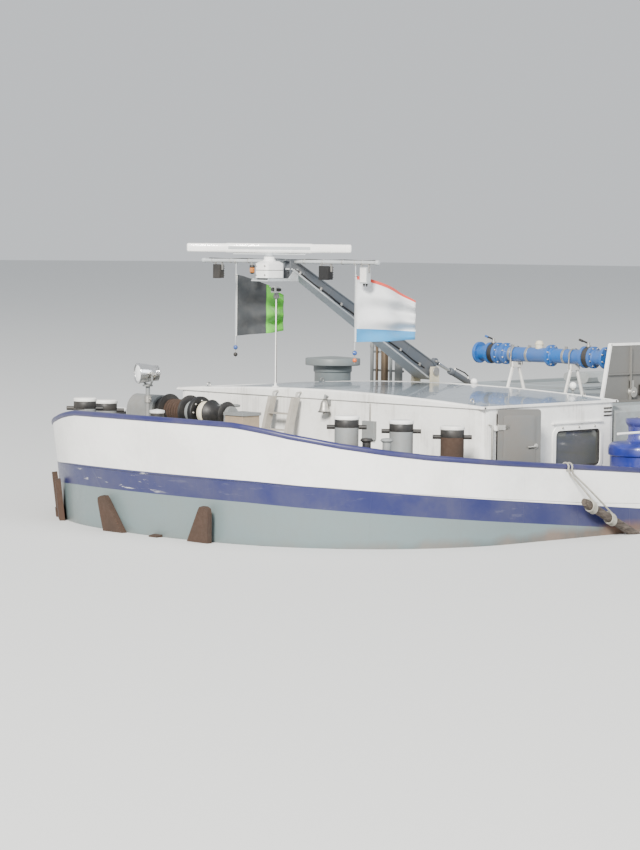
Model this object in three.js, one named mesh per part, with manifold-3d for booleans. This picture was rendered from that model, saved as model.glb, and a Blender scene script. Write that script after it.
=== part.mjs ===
// Motor tank barge, 85 m by 9.5 m, as a 1:10 scale model.
// One model millimetre is one centimetre of the real ship.
// X runs forward, Y to port, Z up; the origin is amidships on the waterline.
import * as THREE from 'three';
import { mergeVertices } from 'three/addons/utils/BufferGeometryUtils.js';
import Module from 'manifold-3d';

const wasm = await Module();
wasm.setup();

// Driving dimensions, model millimetres.
const GAP = 0.3; // between separate pieces that meet
const HALF_BEAM = 475;
const BOW_X = 4250; // stem on the waterline
const KEEL_Z = -260;
const TRUNK = { fore: 3526, aft: -2550, half: 340, top: 190 };
const HOUSE = { fore: 3870, aft: 3532, half: 346, corner: 16, wall: 5, top: 198, camber: 12 };
const AFT_HOUSE = { fore: -2620, aft: -3780, half: 345, wall: 6, top: 290 };
const WHEELHOUSE = {
  fore: -2660, aft: -3010, half: 190, wall: 5, corner: 20, rake: 26, base: 290, sill: 385, head: 475, top: 500,
};
const MAST = { y: -100, pivotX: 3505, pivotZ: 231, length: 392, lift: 28.4 };
const SHAFT_Z = -172;
const STOCK_X = -4012;
const RUDDER_Y = 62;
const STOCK_R = 8;

const barge = new THREE.Group();
barge.name = 'river_barge';

const PAINT = {
  hull: [0xe9e9e4, 0.5, 0.1],
  rail: [0x35419a, 0.45, 0.1],
  white: [0xf0efe9, 0.45, 0.05],
  grey: [0x8a8f92, 0.5, 0.2],
  roof: [0x8d99a6, 0.25, 0.2],
  black: [0x1f2022, 0.6, 0.2],
  rust: [0x6b432c, 0.85, 0.3],
  steel: [0xa9a59b, 0.4, 0.8],
  bronze: [0x9a7440, 0.4, 0.8],
  blue: [0x1f5fa0, 0.4, 0.1],
  glass: [0x24303a, 0.1, 0.0],
  timber: [0x8d7a60, 0.9, 0.0],
  flagGreen: [0x4f8f2e, 0.9, 0.0],
  flagWhite: [0xdfe6ea, 0.9, 0.0],
};

function add(name, geometry, paint) {
  const [color, roughness, metalness] = PAINT[paint];
  const mesh = new THREE.Mesh(geometry, new THREE.MeshStandardMaterial({ color, roughness, metalness }));
  mesh.name = name;
  barge.add(mesh);
}

// Solids and booleans

function bare(geometry) {
  const g = geometry.index ? geometry.clone() : mergeVertices(geometry);
  g.deleteAttribute('normal');
  g.deleteAttribute('uv');
  return mergeVertices(g, 1e-4);
}

function solid(geometry) {
  const g = bare(geometry);
  const mesh = new wasm.Mesh({
    numProp: 3,
    vertProperties: new Float32Array(g.attributes.position.array),
    triVerts: new Uint32Array(g.index.array),
  });
  return new wasm.Manifold(mesh);
}

function shape(manifold) {
  const mesh = manifold.getMesh();
  const g = new THREE.BufferGeometry();
  g.setAttribute('position', new THREE.BufferAttribute(new Float32Array(mesh.vertProperties), 3));
  g.setIndex(new THREE.BufferAttribute(new Uint32Array(mesh.triVerts), 1));
  return g;
}

function fuse(...pieces) {
  return shape(pieces.map(solid).reduce((sum, piece) => sum.add(piece)));
}

function carve(body, ...cutters) {
  return shape(cutters.map(solid).reduce((left, cutter) => left.subtract(cutter), solid(body)));
}

// Rings of equal count joined side by side, closed at both ends by zigzag caps.
function loft(rings) {
  const n = rings[0].length;
  const points = rings.flat();
  const index = [];
  for (let r = 0; r + 1 < rings.length; r++) {
    for (let i = 0; i < n; i++) {
      const a = r * n + i;
      const b = r * n + (i + 1) % n;
      index.push(a, b, b + n, a, b + n, a + n);
    }
  }
  const cap = (base, flip) => {
    let [low, high] = [0, n - 1];
    while (high - low > 1) {
      const tri = [base + low, base + low + 1, base + high];
      index.push(...(flip ? tri : tri.reverse()));
      low += 1;
      if (high - low > 1) {
        const next = [base + low, base + high - 1, base + high];
        index.push(...(flip ? next : next.reverse()));
        high -= 1;
      }
    }
  };
  cap(0, false);
  cap((rings.length - 1) * n, true);
  const g = new THREE.BufferGeometry();
  g.setAttribute('position', new THREE.Float32BufferAttribute(points.flatMap((p) => [p.x, p.y, p.z]), 3));
  g.setIndex(index);
  return outward(g);
}

// Turns every face over if the body came out inside out.
function outward(g) {
  const p = g.attributes.position;
  const index = g.index.array;
  const [a, b, c] = [new THREE.Vector3(), new THREE.Vector3(), new THREE.Vector3()];
  let volume = 0;
  for (let i = 0; i < index.length; i += 3) {
    a.fromBufferAttribute(p, index[i]);
    b.fromBufferAttribute(p, index[i + 1]);
    c.fromBufferAttribute(p, index[i + 2]);
    volume += a.dot(b.cross(c));
  }
  if (volume < 0) {
    for (let i = 0; i < index.length; i += 3) {
      [index[i], index[i + 1]] = [index[i + 1], index[i]];
    }
  }
  return g;
}

const vec = (x, y, z) => new THREE.Vector3(x, y, z);

// A box between two corners.
function box(x0, y0, z0, x1, y1, z1) {
  const g = new THREE.BoxGeometry(x1 - x0, y1 - y0, z1 - z0);
  return g.translate((x0 + x1) / 2, (y0 + y1) / 2, (z0 + z1) / 2);
}

// A round bar or cone between two points.
function rod(from, to, radius, sides = 8, endRadius = radius) {
  const axis = to.clone().sub(from);
  const g = new THREE.CylinderGeometry(endRadius, radius, axis.length(), sides);
  const turn = new THREE.Quaternion().setFromUnitVectors(vec(0, 1, 0), axis.clone().normalize());
  const middle = from.clone().add(to).multiplyScalar(0.5);
  return g.applyQuaternion(turn).translate(middle.x, middle.y, middle.z);
}

const pole = (x, y, z0, z1, radius, sides = 8) => rod(vec(x, y, z0), vec(x, y, z1), radius, sides);

// Turned about Z: profile pairs [radius, z], first and last on the axis.
function turned(profile, sides = 16) {
  const g = new THREE.LatheGeometry(profile.map(([r, z]) => new THREE.Vector2(r, z)), sides);
  return outward(bare(g.rotateX(Math.PI / 2)));
}

// Outline in X and Z, extruded across from y0 to y1.
function plate(outline, y0, y1) {
  const s = new THREE.Shape(outline.map(([x, z]) => new THREE.Vector2(x, z)));
  const g = new THREE.ExtrudeGeometry(s, { depth: y1 - y0, bevelEnabled: false });
  return outward(bare(g.rotateX(Math.PI / 2).translate(0, y1, 0)));
}

// Closed plan outline in X and Y, extruded from z0 to z1.
function prism(outline, z0, z1) {
  const s = new THREE.Shape(outline.map(([x, y]) => new THREE.Vector2(x, y)));
  return new THREE.ExtrudeGeometry(s, { depth: z1 - z0, bevelEnabled: false }).translate(0, 0, z0);
}

// Plan rectangle with round corners.
function roundedPlan(x0, y0, x1, y1, radius, steps = 3) {
  const corners = [[x1, y1, 0], [x0, y1, 90], [x0, y0, 180], [x1, y0, 270]];
  return corners.flatMap(([x, y, start]) => {
    const cx = x - radius * Math.sign(x - (x0 + x1) / 2);
    const cy = y - radius * Math.sign(y - (y0 + y1) / 2);
    return Array.from({ length: steps + 1 }, (_, i) => {
      const angle = THREE.MathUtils.degToRad(start + (90 * i) / steps);
      return [cx + radius * Math.cos(angle), cy + radius * Math.sin(angle)];
    });
  });
}

// Hull form

// Height of the deck edge and of the bulwark rail along the ship: X, deck, rail.
const SHEER = [
  [-4300, 92, 150], [-3900, 80, 132], [-3400, 56, 108], [-2900, 38, 84],
  [3450, 38, 84], [3600, 44, 92], [3743, 53, 104], [3915, 68, 118],
  [4062, 81, 132], [4120, 86, 140], [4172, 91, 150], [4215, 94, 162], [4250, 96, 176], [4300, 97, 181],
];

function sheer(x, column) {
  const i = Math.max(1, SHEER.findIndex((row) => row[0] >= x));
  const [low, high] = [SHEER[i - 1], SHEER[i]];
  return low[column] + ((x - low[0]) / (high[0] - low[0])) * (high[column] - low[column]);
}

const deckZ = (x) => sheer(x, 1);
const railZ = (x) => sheer(x, 2);

// Half outline in plan from the stem to the stern: two arcs, a taper, the straight side, a half oval.
const BOW = { front: 770, corner: 360, turn: 12, end: 84.3 };
const TAPER_X = 3530;
const MIDDLE_X = [3530, 3450, 3000, 0, -2900];

function halfOutline(half, shift, sternX, sternStart = -2900) {
  const points = [];
  const scale = half / HALF_BEAM;
  const centre = BOW_X - BOW.front;
  const arc = (cx, cy, radius, from, to, steps, skip) => {
    for (let i = skip; i <= steps; i++) {
      const angle = THREE.MathUtils.degToRad(from + ((to - from) * i) / steps);
      points.push([cx + radius * Math.cos(angle) + shift, (cy + radius * Math.sin(angle)) * scale]);
    }
  };
  const turn = THREE.MathUtils.degToRad(BOW.turn);
  const reach = BOW.front - BOW.corner;
  arc(centre, 0, BOW.front, 0, BOW.turn, 5, 0);
  arc(centre + reach * Math.cos(turn), reach * Math.sin(turn), BOW.corner, BOW.turn, BOW.end, 7, 1);
  const [lastX, lastY] = points.at(-1);
  for (const part of [0.35, 0.7]) {
    points.push([lastX + (TAPER_X + shift - lastX) * part, lastY + (half - lastY) * part]);
  }
  for (const x of MIDDLE_X) {
    points.push([x > 3000 ? x + shift : Math.max(x, sternStart), half]);
  }
  for (let i = 1; i <= 8; i++) {
    const angle = (Math.PI / 2) * (i / 8);
    const fullness = 0.7;
    const across = half * Math.cos(angle) ** fullness;
    points.push([sternStart + (sternX - sternStart) * Math.sin(angle), i === 8 ? 0 : across]);
  }
  return points;
}

function ring(half, z) {
  const port = half.map(([x, y]) => vec(x, y, typeof z === 'function' ? z(x) : z));
  const starboard = port.slice(1, -1).reverse().map((p) => vec(p.x, -p.y, p.z));
  return [...port, ...starboard];
}

// Hull sections from the keel up: height, half breadth, bow shift, stern end, start of the stern curve.
const LEVELS = [
  [KEEL_Z, 430, -235, -3250, -2500],
  [-228, 466, -150, -3330, -2550],
  [-130, 475, -62, -3560, -2700],
  [-62, 475, -22, -3990, -2850],
  [0, 475, 0, -4160, -2900],
];
const DECK_LINE = halfOutline(HALF_BEAM, 12, -4250);
const RAIL_LINE = halfOutline(HALF_BEAM, 22, -4262);

function hullBody() {
  const rings = LEVELS.map(([z, half, shift, stern, start]) =>
    ring(halfOutline(half, shift, stern, start), z));
  rings.push(ring(DECK_LINE, deckZ));
  return loft(rings);
}

function hull() {
  const profile = [[-3150, -252], [-3150, -100], [-3650, -100], [-3760, -158], [-3760, -186], [-3560, -252]];
  const skeg = plate(profile, -13, 13);
  const tube = rod(vec(-3400, 0, SHAFT_Z), vec(-3800, 0, SHAFT_Z), 17, 16);
  const bore = rod(vec(-3740, 0, SHAFT_Z), vec(-3810, 0, SHAFT_Z), 9, 16);
  const trunks = [-RUDDER_Y, RUDDER_Y].map((y) => pole(STOCK_X, y, -90, 12, STOCK_R + 0.5, 16));
  return carve(fuse(hullBody(), skeg, tube), bore, ...trunks);
}

// Trims a piece that runs down through the deck so that it stands on the deck.
const RAISED_HULL = solid(hullBody().translate(0, 0, GAP));
const onDeck = (geometry) => shape(solid(geometry).subtract(RAISED_HULL));

add('hull', hull(), 'hull');

// Bulwark plating: stations along the outline between two X limits, wall and rail sections as rings.
function station(line, i) {
  const [x, y] = line[i];
  const [x0, y0] = i === 0 ? [line[1][0], -line[1][1]] : line[i - 1];
  const [x1, y1] = line[i + 1] ?? [line[i - 1][0], -line[i - 1][1]];
  const normal = new THREE.Vector2(y0 - y1, x1 - x0).normalize();
  return { x, y, nx: -normal.x, ny: -normal.y };
}

// Section of the wall at station i: outer foot, outer head, inner head, inner foot.
function wallSection(i, side, thickness) {
  const foot = station(DECK_LINE, i);
  const head = station(RAIL_LINE, i);
  const corners = [
    [foot, 0, deckZ(foot.x) + GAP], [head, 0, railZ(head.x)],
    [head, -thickness, railZ(head.x)], [foot, -thickness, deckZ(foot.x) + GAP],
  ];
  return corners.map(([s, inset, z]) => vec(s.x + s.nx * inset, side * (s.y + s.ny * inset), z));
}

function railSection(i, side, radius) {
  const s = station(RAIL_LINE, i);
  const flat = radius * Math.sin(Math.PI / 3);
  const centre = vec(s.x - s.nx * 2, side * (s.y - s.ny * 2), railZ(s.x) + flat + GAP);
  return Array.from({ length: 6 }, (_, k) => {
    const angle = (Math.PI * k) / 3;
    const out = radius * Math.cos(angle);
    return centre.clone().add(vec(s.nx * out, side * s.ny * out, radius * Math.sin(angle)));
  });
}

// Runs a section from one end of the list of stations round the centreline to the other side.
function aroundEnd(indices, section) {
  const port = indices.map((i) => section(i, 1));
  const starboard = indices.filter((i) => Math.abs(DECK_LINE[i][1]) > 1).map((i) => section(i, -1));
  return [...port.reverse(), ...starboard];
}

const BOW_STATIONS = Array.from({ length: 17 }, (_, i) => i);
const STERN_STATIONS = Array.from({ length: 8 }, (_, i) => DECK_LINE.length - 1 - i);
const WALL = 4;

add('bulwark', loft(aroundEnd(BOW_STATIONS, (i, side) => wallSection(i, side, WALL))), 'white');
add('bow_rail', loft(aroundEnd(BOW_STATIONS, (i, side) => railSection(i, side, 4.5))), 'rail');
add('stern_bulwark', loft(aroundEnd(STERN_STATIONS, (i, side) => wallSection(i, side, WALL))), 'white');

// Anchor flukes stand against the bow plating, the crown below the water.
function anchor(spread) {
  const fluke = (side) => {
    const outline = [[-65, -62], [10, -62], [25, 47], [24, 54], [18, 57], [8, 57], [4, 52]];
    const s = new THREE.Shape(outline.map(([y, z]) => new THREE.Vector2(y * side, z)));
    const g = new THREE.ExtrudeGeometry(s, { depth: 9, bevelEnabled: false });
    return outward(bare(g.rotateX(Math.PI / 2).rotateZ(Math.PI / 2).translate(0, side * spread, 0)));
  };
  const crown = box(2, -spread - 14, -84, 14, spread + 14, -56);
  const shank = box(-0.2, -9, -84, 12, 9, 4);
  return fuse(fluke(1), fluke(-1), crown, shank);
}

const anchorPlaces = [
  // name, X and Y on the waterline, heading and lean in degrees, lift, half spread of the flukes
  ['bow_anchor', 4250, 20, 0, 7.6, 0, 100],
  ['starboard_anchor', 4163.6, -306, -38, 6.5, 12, 52],
];
for (const [name, x, y, heading, lean, lift, spread] of anchorPlaces) {
  const turn = THREE.MathUtils.degToRad(heading);
  const tilt = THREE.MathUtils.degToRad(lean);
  const off = 2 * GAP + lift * Math.tan(tilt);
  const g = anchor(spread).rotateY(tilt).rotateZ(turn);
  add(name, g.translate(x + off * Math.cos(turn), y + off * Math.sin(turn), lift), 'rust');
}

// Foredeck gear

// Cross bollard: pipe post with a welded cap and a bar through it, standing on a doubler strip.
function crossBollard(x, y, top, heading) {
  const across = THREE.MathUtils.degToRad(heading);
  const reach = vec(30 * Math.cos(across), 30 * Math.sin(across), 0);
  const head = vec(x, y, top - 16);
  const post = turned([[0, 40], [17.5, 40], [17.5, top - 3], [16, top], [0, top]], 12).translate(x, y, 0);
  return fuse(post, rod(head.clone().sub(reach), head.clone().add(reach), 3.6, 8));
}

const BOLLARDS = {
  // X, distance from the centreline, top, heading of the cross bar in degrees
  port: [[4124, 296, 196, -46], [4040, 330, 188, -46], [3955, 358, 177, -46]],
  starboard: [[4162, 256, 198, 46], [4083, 294, 190, 46], [3975, 392, 168, 46]],
};
const STRIP = { width: 40, height: 5, depth: 30 };

function bollardStrip(row, side) {
  const posts = row.map(([x, y, top, heading]) => crossBollard(x, side * y, top, side * heading));
  const strips = row.slice(1).map(([x, y], i) => {
    const [px, py] = row[i];
    const length = Math.hypot(px - x, py - y) + STRIP.width;
    const g = box(-length / 2, -STRIP.width / 2, 0, length / 2, STRIP.width / 2, STRIP.depth);
    const mid = [(px + x) / 2, (side * (py + y)) / 2];
    const z = deckZ(mid[0]) - STRIP.depth + STRIP.height;
    return g.rotateZ(Math.atan2(side * (py - y), px - x)).translate(mid[0], mid[1], z);
  });
  return onDeck(fuse(...posts, ...strips));
}
add('bollards_port', bollardStrip(BOLLARDS.port, 1), 'grey');
add('bollards_starboard', bollardStrip(BOLLARDS.starboard, -1), 'grey');

// Windlass: bed with gear housing, bearing plates and motor box; the drum turns in the plates.
const WINDLASS = { x: 4004, z: 174, y0: -306, y1: -30 };
const DRUM = { y0: -226, y1: -84, bore: 7 };

function windlass() {
  const { x, z, y0, y1 } = WINDLASS;
  const bearing = (a, b) => plate([[x - 18, 60], [x + 18, 60], [x + 11, z + 14], [x - 11, z + 14]], a, b);
  const housing = [[x - 27, 60], [x + 26, 60], [x + 26, 176], [x + 14, 194], [x - 16, 194], [x - 27, 180]];
  const gear = plate(housing, y0 + 4, DRUM.y0 - 12);
  const motor = box(x - 20, y1 - 42, 60, x + 20, y1, 181);
  const bed = box(x - 30, y0, 60, x + 30, y1 + 2, deckZ(x) + 10);
  const body = fuse(bed, gear, motor, bearing(DRUM.y0 - 13, DRUM.y0 - 4), bearing(DRUM.y1 + 4, DRUM.y1 + 12));
  return onDeck(carve(body, rod(vec(x, DRUM.y0 - 14, z), vec(x, y1 - 43, z), DRUM.bore + 1, 16)));
}
add('windlass', windlass(), 'grey');

// Drum profile along its axis: radius and place from the starboard end.
function windlassDrum() {
  const long = DRUM.y1 - DRUM.y0;
  const profile = [
    [0, -11], [7, -11], [7, 0], [27, 0], [27, 4], [14, 5], [14, 48], [27, 49], [27, 54], [18, 56],
    [18, 70], [25, 72], [25, 80], [12, 82], [12, 98], [20, 104], [20, long], [7, long],
    [7, long + 9], [0, long + 9],
  ];
  return turned(profile, 14).rotateX(-Math.PI / 2).translate(WINDLASS.x, DRUM.y0, WINDLASS.z);
}
add('windlass_drum', windlassDrum(), 'rust');

// Bow searchlight: can on a post with a yoke.
const LIGHT = { x: 4074, y: -201, z: 238, toe: -21 };
function searchlightPost() {
  const { x, y, z } = LIGHT;
  return onDeck(fuse(pole(x, y, 60, z - 19, 3.4, 10), box(x - 8, y - 8, z - 21, x + 8, y + 8, z - 18)));
}
function searchlight() {
  const can = turned([[0, -18], [7, -18], [11, -12], [11.5, 14], [13, 15], [13, 19], [0, 19]], 16)
    .rotateY(Math.PI / 2);
  const arms = [-16, 13].map((y) => box(-3, y, -17, 3, y + 3, 3));
  const yoke = fuse(box(-4, -16, -17.5, 4, 16, -15), ...arms);
  const pin = rod(vec(0, -14, 0), vec(0, 14, 0), 2.5);
  const light = fuse(can, yoke, pin).rotateZ(THREE.MathUtils.degToRad(LIGHT.toe));
  return light.translate(LIGHT.x, LIGHT.y, LIGHT.z);
}
add('searchlight_post', searchlightPost(), 'grey');
add('searchlight', searchlight(), 'steel');

// Forward deckhouse: steel box open to the deck, rounded corners, cambered roof plate. The
// knuckles of the door's hinge are welded on the port wall.
const DOOR = { fore: 3837, aft: 3766, sill: 82, head: 190, open: 25 };
const SIDE_WINDOW = { fore: 3692, aft: 3575, sill: 96, head: 158, radius: 9 };

// Roof line: the camber is a parabola across the breadth.
const camber = (y) => HOUSE.camber * (1 - (y / HOUSE.half) ** 2);

function forwardHouse() {
  const { fore, aft, half, corner, wall, top } = HOUSE;
  const outer = prism(roundedPlan(aft, -half, fore, half, corner), 20, top);
  const inside = roundedPlan(aft + wall, -half + wall, fore - wall, half - wall, corner - wall);
  const inner = prism(inside, 10, top - wall);
  const doorway = box(DOOR.aft, half - 2 * wall, DOOR.sill, DOOR.fore, half + wall, DOOR.head);
  const window = (side) => {
    const w = SIDE_WINDOW;
    const pane = roundedPlan(w.aft, w.sill, w.fore, w.head, w.radius);
    return side > 0 ? plate(pane, half - 2 * wall, half + wall) : plate(pane, -half - wall, -half + 2 * wall);
  };
  const knuckles = [100, 164].map((z) =>
    box(DOOR.fore + 1.3, half - 3, z, DOOR.fore + 6, half + 4.2, z + 8));
  return onDeck(fuse(carve(outer, inner, doorway, window(1), window(-1)), ...knuckles));
}
add('forward_house', forwardHouse(), 'white');

function forwardRoof() {
  const { fore, aft, half, top } = HOUSE;
  const edge = 3;
  const steps = 12;
  const across = Array.from({ length: steps + 1 }, (_, i) => -half - edge + ((half + edge) * 2 * i) / steps);
  const section = (x) => [
    ...across.map((y) => vec(x, y, top + GAP + 3 + Math.max(0, camber(y)))),
    vec(x, half + edge, top + GAP), vec(x, -half - edge, top + GAP),
  ];
  return loft([section(fore + edge), section(aft - 2)]);
}
add('forward_roof', forwardRoof(), 'roof');

// Port door, standing ajar on its forward hinge; the leaf is modelled shut and swung.
function forwardDoor() {
  const width = DOOR.fore - DOOR.aft + 3;
  const height = DOOR.head - DOOR.sill + 8;
  const leaf = box(-width, -3, 0, 0, 0, height);
  const handle = box(-width + 6, -0.5, height * 0.45, -width + 9, 3, height * 0.45 + 9);
  const swung = fuse(leaf, handle).rotateZ(THREE.MathUtils.degToRad(-DOOR.open));
  return swung.translate(DOOR.fore + 1, HOUSE.half + 4.6, DOOR.sill - 1);
}
add('forward_door', forwardDoor(), 'grey');

// Ladder: two broad stringers leaning on the roof edge, flat rungs between them.
const LADDER = { y: -72, gap: 54, topX: 3880, topZ: 199, footX: 3920, tread: 27 };
function ladder() {
  const { y, gap, topX, topZ, footX } = LADDER;
  const foot = 60;
  const outline = [[topX, topZ], [topX + 14, topZ], [footX + 14, foot], [footX, foot]];
  const stringer = (at) => plate(outline, at - 3.5, at + 3.5);
  const rungs = [1, 2, 3, 4].map((i) => {
    const z = topZ - i * LADDER.tread;
    const x = topX + 7 + ((footX - topX) * (topZ - z)) / (topZ - foot);
    return box(x - 5, y - gap / 2, z - 1.2, x + 5, y + gap / 2, z + 1.2);
  });
  return onDeck(fuse(stringer(y - gap / 2), stringer(y + gap / 2), ...rungs));
}
add('ladder', ladder(), 'white');

// Tank trunk with hatch coamings, and the gear that stands on it.
const HATCH_X = [2550, 1150, -500, -1900];
const HATCH_Y = 150;
const HATCH_R = 38;
function trunk() {
  const { fore, aft, half, top } = TRUNK;
  const corner = 10;
  const outline = [
    [-half, 10], [half, 10], [half, top - corner], [half - corner, top],
    [-half + corner, top], [-half, top - corner],
  ];
  const section = (x) => outline.map(([y, z]) => vec(x, y, z));
  const coamings = HATCH_X.map((x, i) => pole(x, (i % 2 ? -1 : 1) * HATCH_Y, top - 5, top + 30, HATCH_R, 14));
  return onDeck(fuse(loft([section(fore), section(aft)]), ...coamings));
}
add('trunk', trunk(), 'grey');

HATCH_X.forEach((x, i) => {
  const y = (i % 2 ? -1 : 1) * HATCH_Y;
  const dish = [[0, 0], [HATCH_R + 3, 0], [HATCH_R + 3, 4], [HATCH_R - 8, 11], [0, 13]];
  const lid = turned(dish, 14).translate(x, y, 0);
  const lug = box(x - 8, y - HATCH_R - 12, 0, x + 8, y - HATCH_R + 4, 5);
  const grip = box(x - 4, y + HATCH_R, 0.5, x + 4, y + HATCH_R + 12, 4);
  add(`hatch_lid_${i + 1}`, fuse(lid, lug, grip).translate(0, 0, TRUNK.top + 30 + GAP), 'grey');
});

const ON_TRUNK = TRUNK.top + GAP;

// Tall mushroom vent on the starboard side deck.
function ventDrum() {
  const profile = [
    [0, -10], [38, -10], [38, 7], [34, 8], [34, 190], [51, 191], [51, 204], [47, 206], [0, 208],
  ];
  return onDeck(turned(profile, 20).translate(3430, -398, 38));
}
add('vent_drum', ventDrum(), 'grey');

function standpipes() {
  const pipes = [
    // Y, radius, top
    [-233, 3.3, 276], [-221, 2.6, 277], [-202, 6.7, 283], [-187, 2.8, 274], [-168, 7.2, 279],
  ];
  return fuse(box(3486, -242, ON_TRUNK, 3514, -156, ON_TRUNK + 4),
    ...pipes.map(([y, radius, top]) => pole(3500, y, ON_TRUNK + 1, top, radius, 10)));
}
add('standpipes', standpipes(), 'steel');

// Radar mast on two cheeks behind the deckhouse.
function mastCheeks() {
  const { y, pivotX, pivotZ } = MAST;
  const cheek = (a, b) => plate(
    [[pivotX - 13, 170], [pivotX + 12, 170], [pivotX + 8, pivotZ + 8], [pivotX - 8, pivotZ + 8]], a, b);
  const foot = box(pivotX - 19, y - 29, 176, pivotX + 17, y + 29, ON_TRUNK + 3);
  const ramSeat = box(pivotX - 140, y - 9, 176, pivotX - 118, y + 9, ON_TRUNK + 2);
  const ear = [[pivotX - 136, 176], [pivotX - 119, 176], [pivotX - 122, 209], [pivotX - 132, 209]];
  const ramCheek = (a, b) => plate(ear, a, b);
  const strap = box(pivotX - 128, y - 5, 176, pivotX - 8, y + 5, ON_TRUNK + 2);
  const body = fuse(foot, strap, ramSeat, cheek(y - 25, y - 19), cheek(y + 19, y + 25),
    ramCheek(y - 9, y - 6), ramCheek(y + 6, y + 9));
  return carve(body, box(pivotX - 150, y - 60, 150, pivotX + 60, y + 60, ON_TRUNK),
    rod(vec(pivotX, y - 40, pivotZ), vec(pivotX, y + 40, pivotZ), 5.5, 16),
    rod(vec(pivotX - 127, y - 20, 203), vec(pivotX - 127, y + 20, 203), 3.5, 12));
}
add('mast_cheeks', mastCheeks(), 'white');

// Mast in its own frame: X along the arm from the pivot, Z square to it; set at its lift angle.
const YARD = { z: 8, half: 206, at: 388, shift: -11 };
function atMast(geometry) {
  return geometry.rotateY(-THREE.MathUtils.degToRad(MAST.lift)).translate(MAST.pivotX, MAST.y, MAST.pivotZ);
}
function mastPoint(along, up) {
  const angle = THREE.MathUtils.degToRad(MAST.lift);
  const x = MAST.pivotX + along * Math.cos(angle) - up * Math.sin(angle);
  return vec(x, MAST.y, MAST.pivotZ + along * Math.sin(angle) + up * Math.cos(angle));
}

function mast() {
  const section = (x, half, z0, z1) => [
    vec(x, -half, z0), vec(x, half, z0), vec(x, half, z1), vec(x, -half, z1),
  ];
  const arm = loft([
    section(-14, 15, -8, 10), section(6, 15, -14, 17), section(150, 12, -11, 14), section(392, 8, -7, 9),
  ]);
  const flange = box(0, -17, -15, 385, 17, -11.5).rotateY(-0.008);
  const pin = rod(vec(0, -25, 0), vec(0, 25, 0), 5, 16);
  const lug = fuse(box(-19, -4, 2, 8, 4, 22), box(-19, -4, 12, -9, 4, 26),
    rod(vec(-14, -4, 26), vec(-14, 4, 26), 6, 12));
  const arms = atMast(fuse(arm, flange, pin, lug));
  const head = mastPoint(YARD.at, YARD.z);
  const [low, high] = [head.y + YARD.shift - YARD.half, head.y + YARD.shift + YARD.half];
  const yard = rod(vec(head.x, low, head.z), vec(head.x, high, head.z), 2.6, 10);
  const knob = rod(vec(head.x, high - 6, head.z), vec(head.x, high + 4, head.z), 4, 10);
  const staffs = FLAG_STAFFS.flatMap(([, y, drop, tip]) => {
    const at = head.y + y;
    const ball = pole(head.x, at, head.z - drop - tip, head.z - drop + 2, 3);
    return [pole(head.x, at, head.z - drop, head.z, 1.3), ball];
  });
  const lamps = YARD_BOXES.map(([y, half, high, low]) =>
    box(head.x - 5, head.y + y - half, head.z - low, head.x + 7, head.y + y + half, head.z - high));
  const bracket = fuse(box(head.x - 6, head.y - 30, head.z - 33, head.x + 66, head.y + 10, head.z - 28),
    box(head.x - 6, head.y - 8, head.z - 31, head.x + 14, head.y + 8, head.z - 4));
  return fuse(arms, yard, knob, bracket, ...staffs, ...lamps);
}

const FLAG_STAFFS = [
  // name, Y from the mast, length, length of the two balls below it
  ['starboard', -134, 142, 24],
  ['port', 146, 142, 24],
];
// Floodlights and the junction box under the yard: Y from the mast, half breadth, top and foot below it.
const YARD_BOXES = [[-176, 9, 1, 30], [80, 12, 1, 29], [168, 9, 1, 34]];
add('mast', mast(), 'grey');

const HEAD = mastPoint(YARD.at, YARD.z);
const RADAR = { x: HEAD.x + 44, y: MAST.y - 10, base: HEAD.z - 28 + GAP };
function radarUnit() {
  const { x, y, base } = RADAR;
  const outline = roundedPlan(x - 22, y - 15, x + 20, y + 15, 6, 2);
  return fuse(prism(outline, base, base + 29), pole(x, y, base + 27, base + 36, 9, 16));
}
add('radar_unit', radarUnit(), 'white');

const SCANNER = { half: 137, turn: 44 };
function radarScanner() {
  const { x, y, base } = RADAR;
  const section = [[-8, 3], [-6, 0], [7, 0], [9, 4], [8, 15], [-5, 16], [-8, 13]];
  const bar = plate(section, -SCANNER.half, SCANNER.half);
  const spine = box(-4, -70, -3, 5, 70, 1);
  const hub = pole(0, 0, -5, 1, 8, 16);
  const g = fuse(bar, spine, hub).rotateZ(THREE.MathUtils.degToRad(SCANNER.turn));
  return g.translate(x, y, base + 36 + 5 + GAP);
}
add('radar_scanner', radarScanner(), 'white');

// Lifting ram between the trunk and the lug of the mast.
const RAM_FOOT = vec(MAST.pivotX - 127, MAST.y, 203);
const RAM_EYE = mastPoint(-14, 26);
function ramBarrel() {
  const along = RAM_EYE.clone().sub(RAM_FOOT).normalize();
  const start = RAM_FOOT.clone().addScaledVector(along, 2);
  const end = RAM_FOOT.clone().addScaledVector(along, 68);
  const eye = rod(RAM_FOOT.clone().add(vec(0, -5.6, 0)), RAM_FOOT.clone().add(vec(0, 5.6, 0)), 6, 12);
  const pin = rod(RAM_FOOT.clone().add(vec(0, -9, 0)), RAM_FOOT.clone().add(vec(0, 9, 0)), 3.2, 12);
  const floor = RAM_FOOT.clone().addScaledVector(along, 26);
  const bore = rod(floor, end.clone().addScaledVector(along, 2), 3.4, 12);
  return carve(fuse(rod(start, end, 5.5, 12), eye, pin), bore);
}
function ramRod() {
  const along = RAM_EYE.clone().sub(RAM_FOOT);
  const long = along.length();
  along.normalize();
  const start = RAM_FOOT.clone().addScaledVector(along, 52);
  const end = RAM_FOOT.clone().addScaledVector(along, long - 9.5);
  return rod(start, end, 3, 12);
}
add('mast_ram_barrel', ramBarrel(), 'grey');
add('mast_ram_rod', ramRod(), 'steel');

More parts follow.
